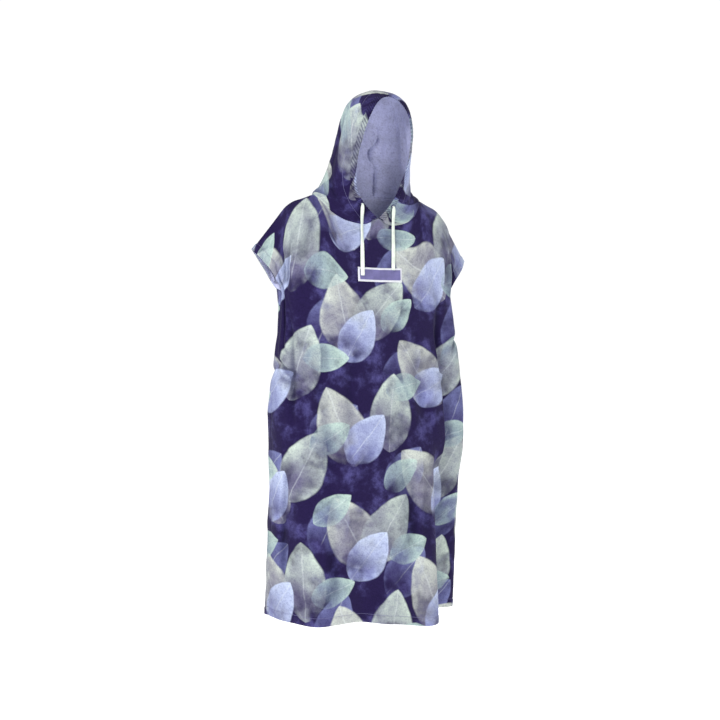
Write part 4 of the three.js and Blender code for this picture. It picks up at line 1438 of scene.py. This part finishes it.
@dataclass
class Drawcord:
    """The two free ends of the flat drawcord."""

    width: float = 10.5
    thickness: float = 1.8
    steps: int = 96
    around: int = 20

    def centre(self, side: Side, count: int) -> Grid:
        """Lay even points along a free end's route, in millimetres."""
        route = np.array(ROUTES[side])
        knots = arc_lengths(route[:, None], 0)[:, 0]
        dense = through(knots, route, np.linspace(0, knots[-1], 900))
        length = arc_lengths(dense[:, None], 0)[:, 0]
        even = np.linspace(0, length[-1], count)
        return np.stack([np.interp(even, length, dense[:, k]) for k in range(3)], -1)

    def make(self, side: Side, tape: bpy.types.Material) -> bpy.types.Object:
        """Make one free end as a tape that turns as it falls.

        Args:
            side: Which end.
            tape: Its material.

        Returns:
            The object.
        """
        line = self.centre(side, self.steps)
        tangent = unit(np.gradient(line, axis=0))
        turns = TURNS[side]
        angle = through(np.linspace(0, 1, len(turns)), turns, np.linspace(0, 1, self.steps))
        angle = np.radians(angle)[:, None]
        across = unit(np.array([1.0, 0, 0]) - tangent * tangent[:, :1])
        out = np.cross(tangent, across)
        turned = across * np.cos(angle) + out * np.sin(angle)
        across, out = turned, out * np.cos(angle) - across * np.sin(angle)
        turn = np.linspace(0, 2 * math.pi, self.around, endpoint=False)
        wide = bent(np.cos(turn), 0.45) * self.width / 2
        thick = bent(np.sin(turn), 0.6) * self.thickness / 2
        cup = 0.35 * (1 - (2 * wide / self.width) ** 2)
        length = arc_lengths(line[:, None], 0)[:, 0]
        bunched = (0.5 + 0.55 * smooth(length / 17) - 0.2 * smooth((length - length[-1] + 3) / 3))[:, None]
        points = line[:, None] + across[:, None] * (bunched * wide)[..., None]
        points = points + out[:, None] * (thick + cup)[None, :, None]
        closed, faces = tube(points, flip=True)
        place = np.stack(np.broadcast_arrays(wide, length[:, None]), -1).reshape(-1, 2)
        place = np.vstack([place, [0, 0], [0, length[-1]]]) * MM
        parts = MeshParts(closed, faces, np.zeros(len(faces)), {"cut": place})
        piece = parts.build(f"drawcord_{side.name.lower()}", [tape])
        finish_piece(piece, Finish.TAPE, f"cord_{side.name.lower()}")
        line[0] * MM
        length[-1] * MM
        (line[::4] * MM).tolist() + [(line[-1] * MM).tolist()]
        return piece


@dataclass
class Buttonhole:
    """The stitched slit in the casing where the cord comes out."""

    half_width: float = 4.4
    half_height: float = 2.2
    thread: float = 0.85
    stitches: int = 36

    def make(self, side: Side, exit_point: Grid, thread: bpy.types.Material) -> bpy.types.Object:
        """Make the ring of stitches.

        Args:
            side: Which side it is on.
            exit_point: The middle of the cord where it comes out, in millimetres.
            thread: Its material.

        Returns:
            The object.
        """
        out = unit(np.array([0.13 * side.value, -0.99, -0.06]))
        along = unit(np.cross(out, [0.0, 0.0, 1.0]))
        up = np.cross(along, out)
        count, around = self.stitches * 6, 8
        turn = np.linspace(0, 2 * math.pi, count, endpoint=False)[:, None]
        about = np.linspace(0, 2 * math.pi, around, endpoint=False)[None]
        bulge = self.thread * (0.75 + 0.25 * np.abs(np.sin(turn * self.stitches / 2)))
        reach = bulge * np.cos(about) * 1.5
        width = (self.half_width + reach) * np.cos(turn)
        height = (self.half_height + reach) * np.sin(turn)
        rise = bulge * np.sin(about)
        middle = exit_point - out * 1.3
        points = middle + width[..., None] * along + height[..., None] * up + rise[..., None] * out
        faces = quads(count + 1, around, closed=True) % (count * around)
        place = np.stack(np.broadcast_arrays(turn * 5, about), -1).reshape(-1, 2) * MM
        parts = MeshParts(points.reshape(-1, 3), faces[:, ::-1], np.zeros(len(faces)), {"cut": place})
        piece = parts.build(f"buttonhole_{side.name.lower()}", [thread])
        return finish_piece(piece, Finish.CASING)


@dataclass
class Patch:
    """The bare cloth patch on the chest, with its stitched border."""

    cut: BodyCut
    share: float = 28 / 90 * NECK_SHARE
    top: float = 130
    bottom: float = 166
    gap: float = 0.3
    thickness: float = 1.2

    def make(self, cloth: bpy.types.Material) -> bpy.types.Object:
        """Make the patch on the chest's own points.

        Args:
            cloth: Its material.

        Returns:
            The object.
        """
        s = np.linspace(-self.share, self.share, 65)
        downs = np.linspace(self.top, self.bottom, 25)
        points, normals, folds = self.cut.surface(s, downs)
        across, down = arc_lengths(points, 1), arc_lengths(points, 0)
        edge = np.minimum(np.minimum(across, across[:, -1:] - across), np.minimum(down, down[-1:] - down))
        rise = self.gap + self.thickness - 0.4 * smooth((edge - 3.6) / 1.0)
        place = np.stack([across * MM, down * MM], -1)
        laid = points + normals * rise[..., None]
        plain = {"wall": 1.0, "pinch": 0.0, "hem_width": 0.0}
        cloth_piece = Cloth("chest_patch", laid, normals, place, folds, flip=False, **plain)
        cloth_piece.sewn = [np.zeros(len(rows)) for rows, _ in cloth_piece.edges()]
        piece = cloth_piece.parts().build("chest_patch", [cloth, cloth])
        finish_piece(piece, Finish.PATCH, "patch")
        return piece


class Studio:
    """The pale floor, the soft lights and the camera."""

    def floor(self) -> None:
        """Lay the floor at the height where a standing wearer's feet would be."""
        bpy.ops.mesh.primitive_plane_add(size=40, location=(0, 0, -1.45))
        plane = bpy.context.object
        plane.name = "floor"
        material = bpy.data.materials.new("pale floor")
        material.use_nodes = True
        shader = material.node_tree.nodes["Principled BSDF"]
        shader.inputs["Base Color"].default_value = (0.9, 0.9, 0.9, 1)
        shader.inputs["Roughness"].default_value = 0.9
        shader.inputs["Emission Color"].default_value = (1, 1, 1, 1)
        shader.inputs["Emission Strength"].default_value = 0.85
        plane.data.materials.append(material)

    def world(self) -> None:
        """Light the room evenly and keep what is behind the garment white."""
        world = bpy.data.worlds.new("studio")
        world.use_nodes = True
        tree = world.node_tree
        background = tree.nodes["Background"]
        background.inputs["Color"].default_value = (1, 1, 1, 1)
        background.inputs["Strength"].default_value = 0.44
        white = tree.nodes.new("ShaderNodeBackground")
        white.inputs["Color"].default_value = (1, 1, 1, 1)
        white.inputs["Strength"].default_value = 1.05
        path = tree.nodes.new("ShaderNodeLightPath")
        chosen = tree.nodes.new("ShaderNodeMixShader")
        tree.links.new(path.outputs["Is Camera Ray"], chosen.inputs[0])
        tree.links.new(background.outputs[0], chosen.inputs[1])
        tree.links.new(white.outputs[0], chosen.inputs[2])
        tree.links.new(chosen.outputs[0], tree.nodes["World Output"].inputs["Surface"])
        bpy.context.scene.world = world

    def light(self, name: str, place: Point, size: float, power: float) -> None:
        """Hang a soft light that looks at the garment's chest."""
        data = bpy.data.lights.new(name, "AREA")
        data.shape = "DISK"
        data.size = size
        data.energy = power
        lamp = bpy.data.objects.new(name, data)
        lamp.location = place
        lamp.rotation_euler = (Vector((0, 0, -0.4)) - Vector(place)).to_track_quat("-Z", "Y").to_euler()
        bpy.context.collection.objects.link(lamp)

    def camera(self) -> None:
        """Stand the camera where the photograph was taken from."""
        data = bpy.data.cameras.new("camera")
        data.lens = 67.13
        data.sensor_width = 36
        made = bpy.data.objects.new("camera", data)
        made.location = (-1.6432, -3.0533, -0.417)
        made.rotation_euler = (math.radians(90), 0, math.radians(-28))
        bpy.context.collection.objects.link(made)
        bpy.context.scene.camera = made

    def make(self) -> None:
        """Set up the whole studio."""
        self.camera()
        self.floor()
        self.world()
        self.light("key", (-2.9, -1.9, 2.3), 1.1, 128)
        self.light("fill", (-0.2, -3.9, 0.5), 1.3, 36)
        self.light("rim", (2.7, 1.4, 1.4), 1.4, 42)
        bpy.context.scene.view_settings.view_transform = "Standard"


def main() -> None:
    """Build the garment in order."""
    logging.basicConfig(level=logging.INFO, format="%(name)s: %(message)s")
    Studio().make()
    tape = Woven("tape weave", srgb(240, 246, 236), srgb(196, 208, 196), 0.0011, 0.0004).dress()
    frame_colours = srgb(226, 227, 231), srgb(192, 194, 204)
    plain = Woven("patch weave", *frame_colours, 0.0008, 0.0003, srgb(112, 108, 158)).dress()
    thread = Woven("indigo thread", srgb(70, 62, 112), srgb(44, 36, 80), 0.0006, 0.0002).dress()
    cord = Drawcord()
    for side in Side:
        cord.make(side, tape)
        Buttonhole().make(side, np.array(ROUTES[side][0]), thread)
    body = Body(Towelling())
    panels = body.make()
    strip = body.towelling.dress("casing towelling", Print(), LOOP)
    casings = {side: Casing(side, body.hoods[side]).make(strip) for side in Side}
    patch = Patch(body.cuts[Face.FRONT]).make(plain)
    panels["front_panel"]
    panels["back_panel"]
    for side in Side:
        hood = panels[f"hood_{side.name.lower()}"]
        casings[side]


if __name__ == "__main__":
    main()
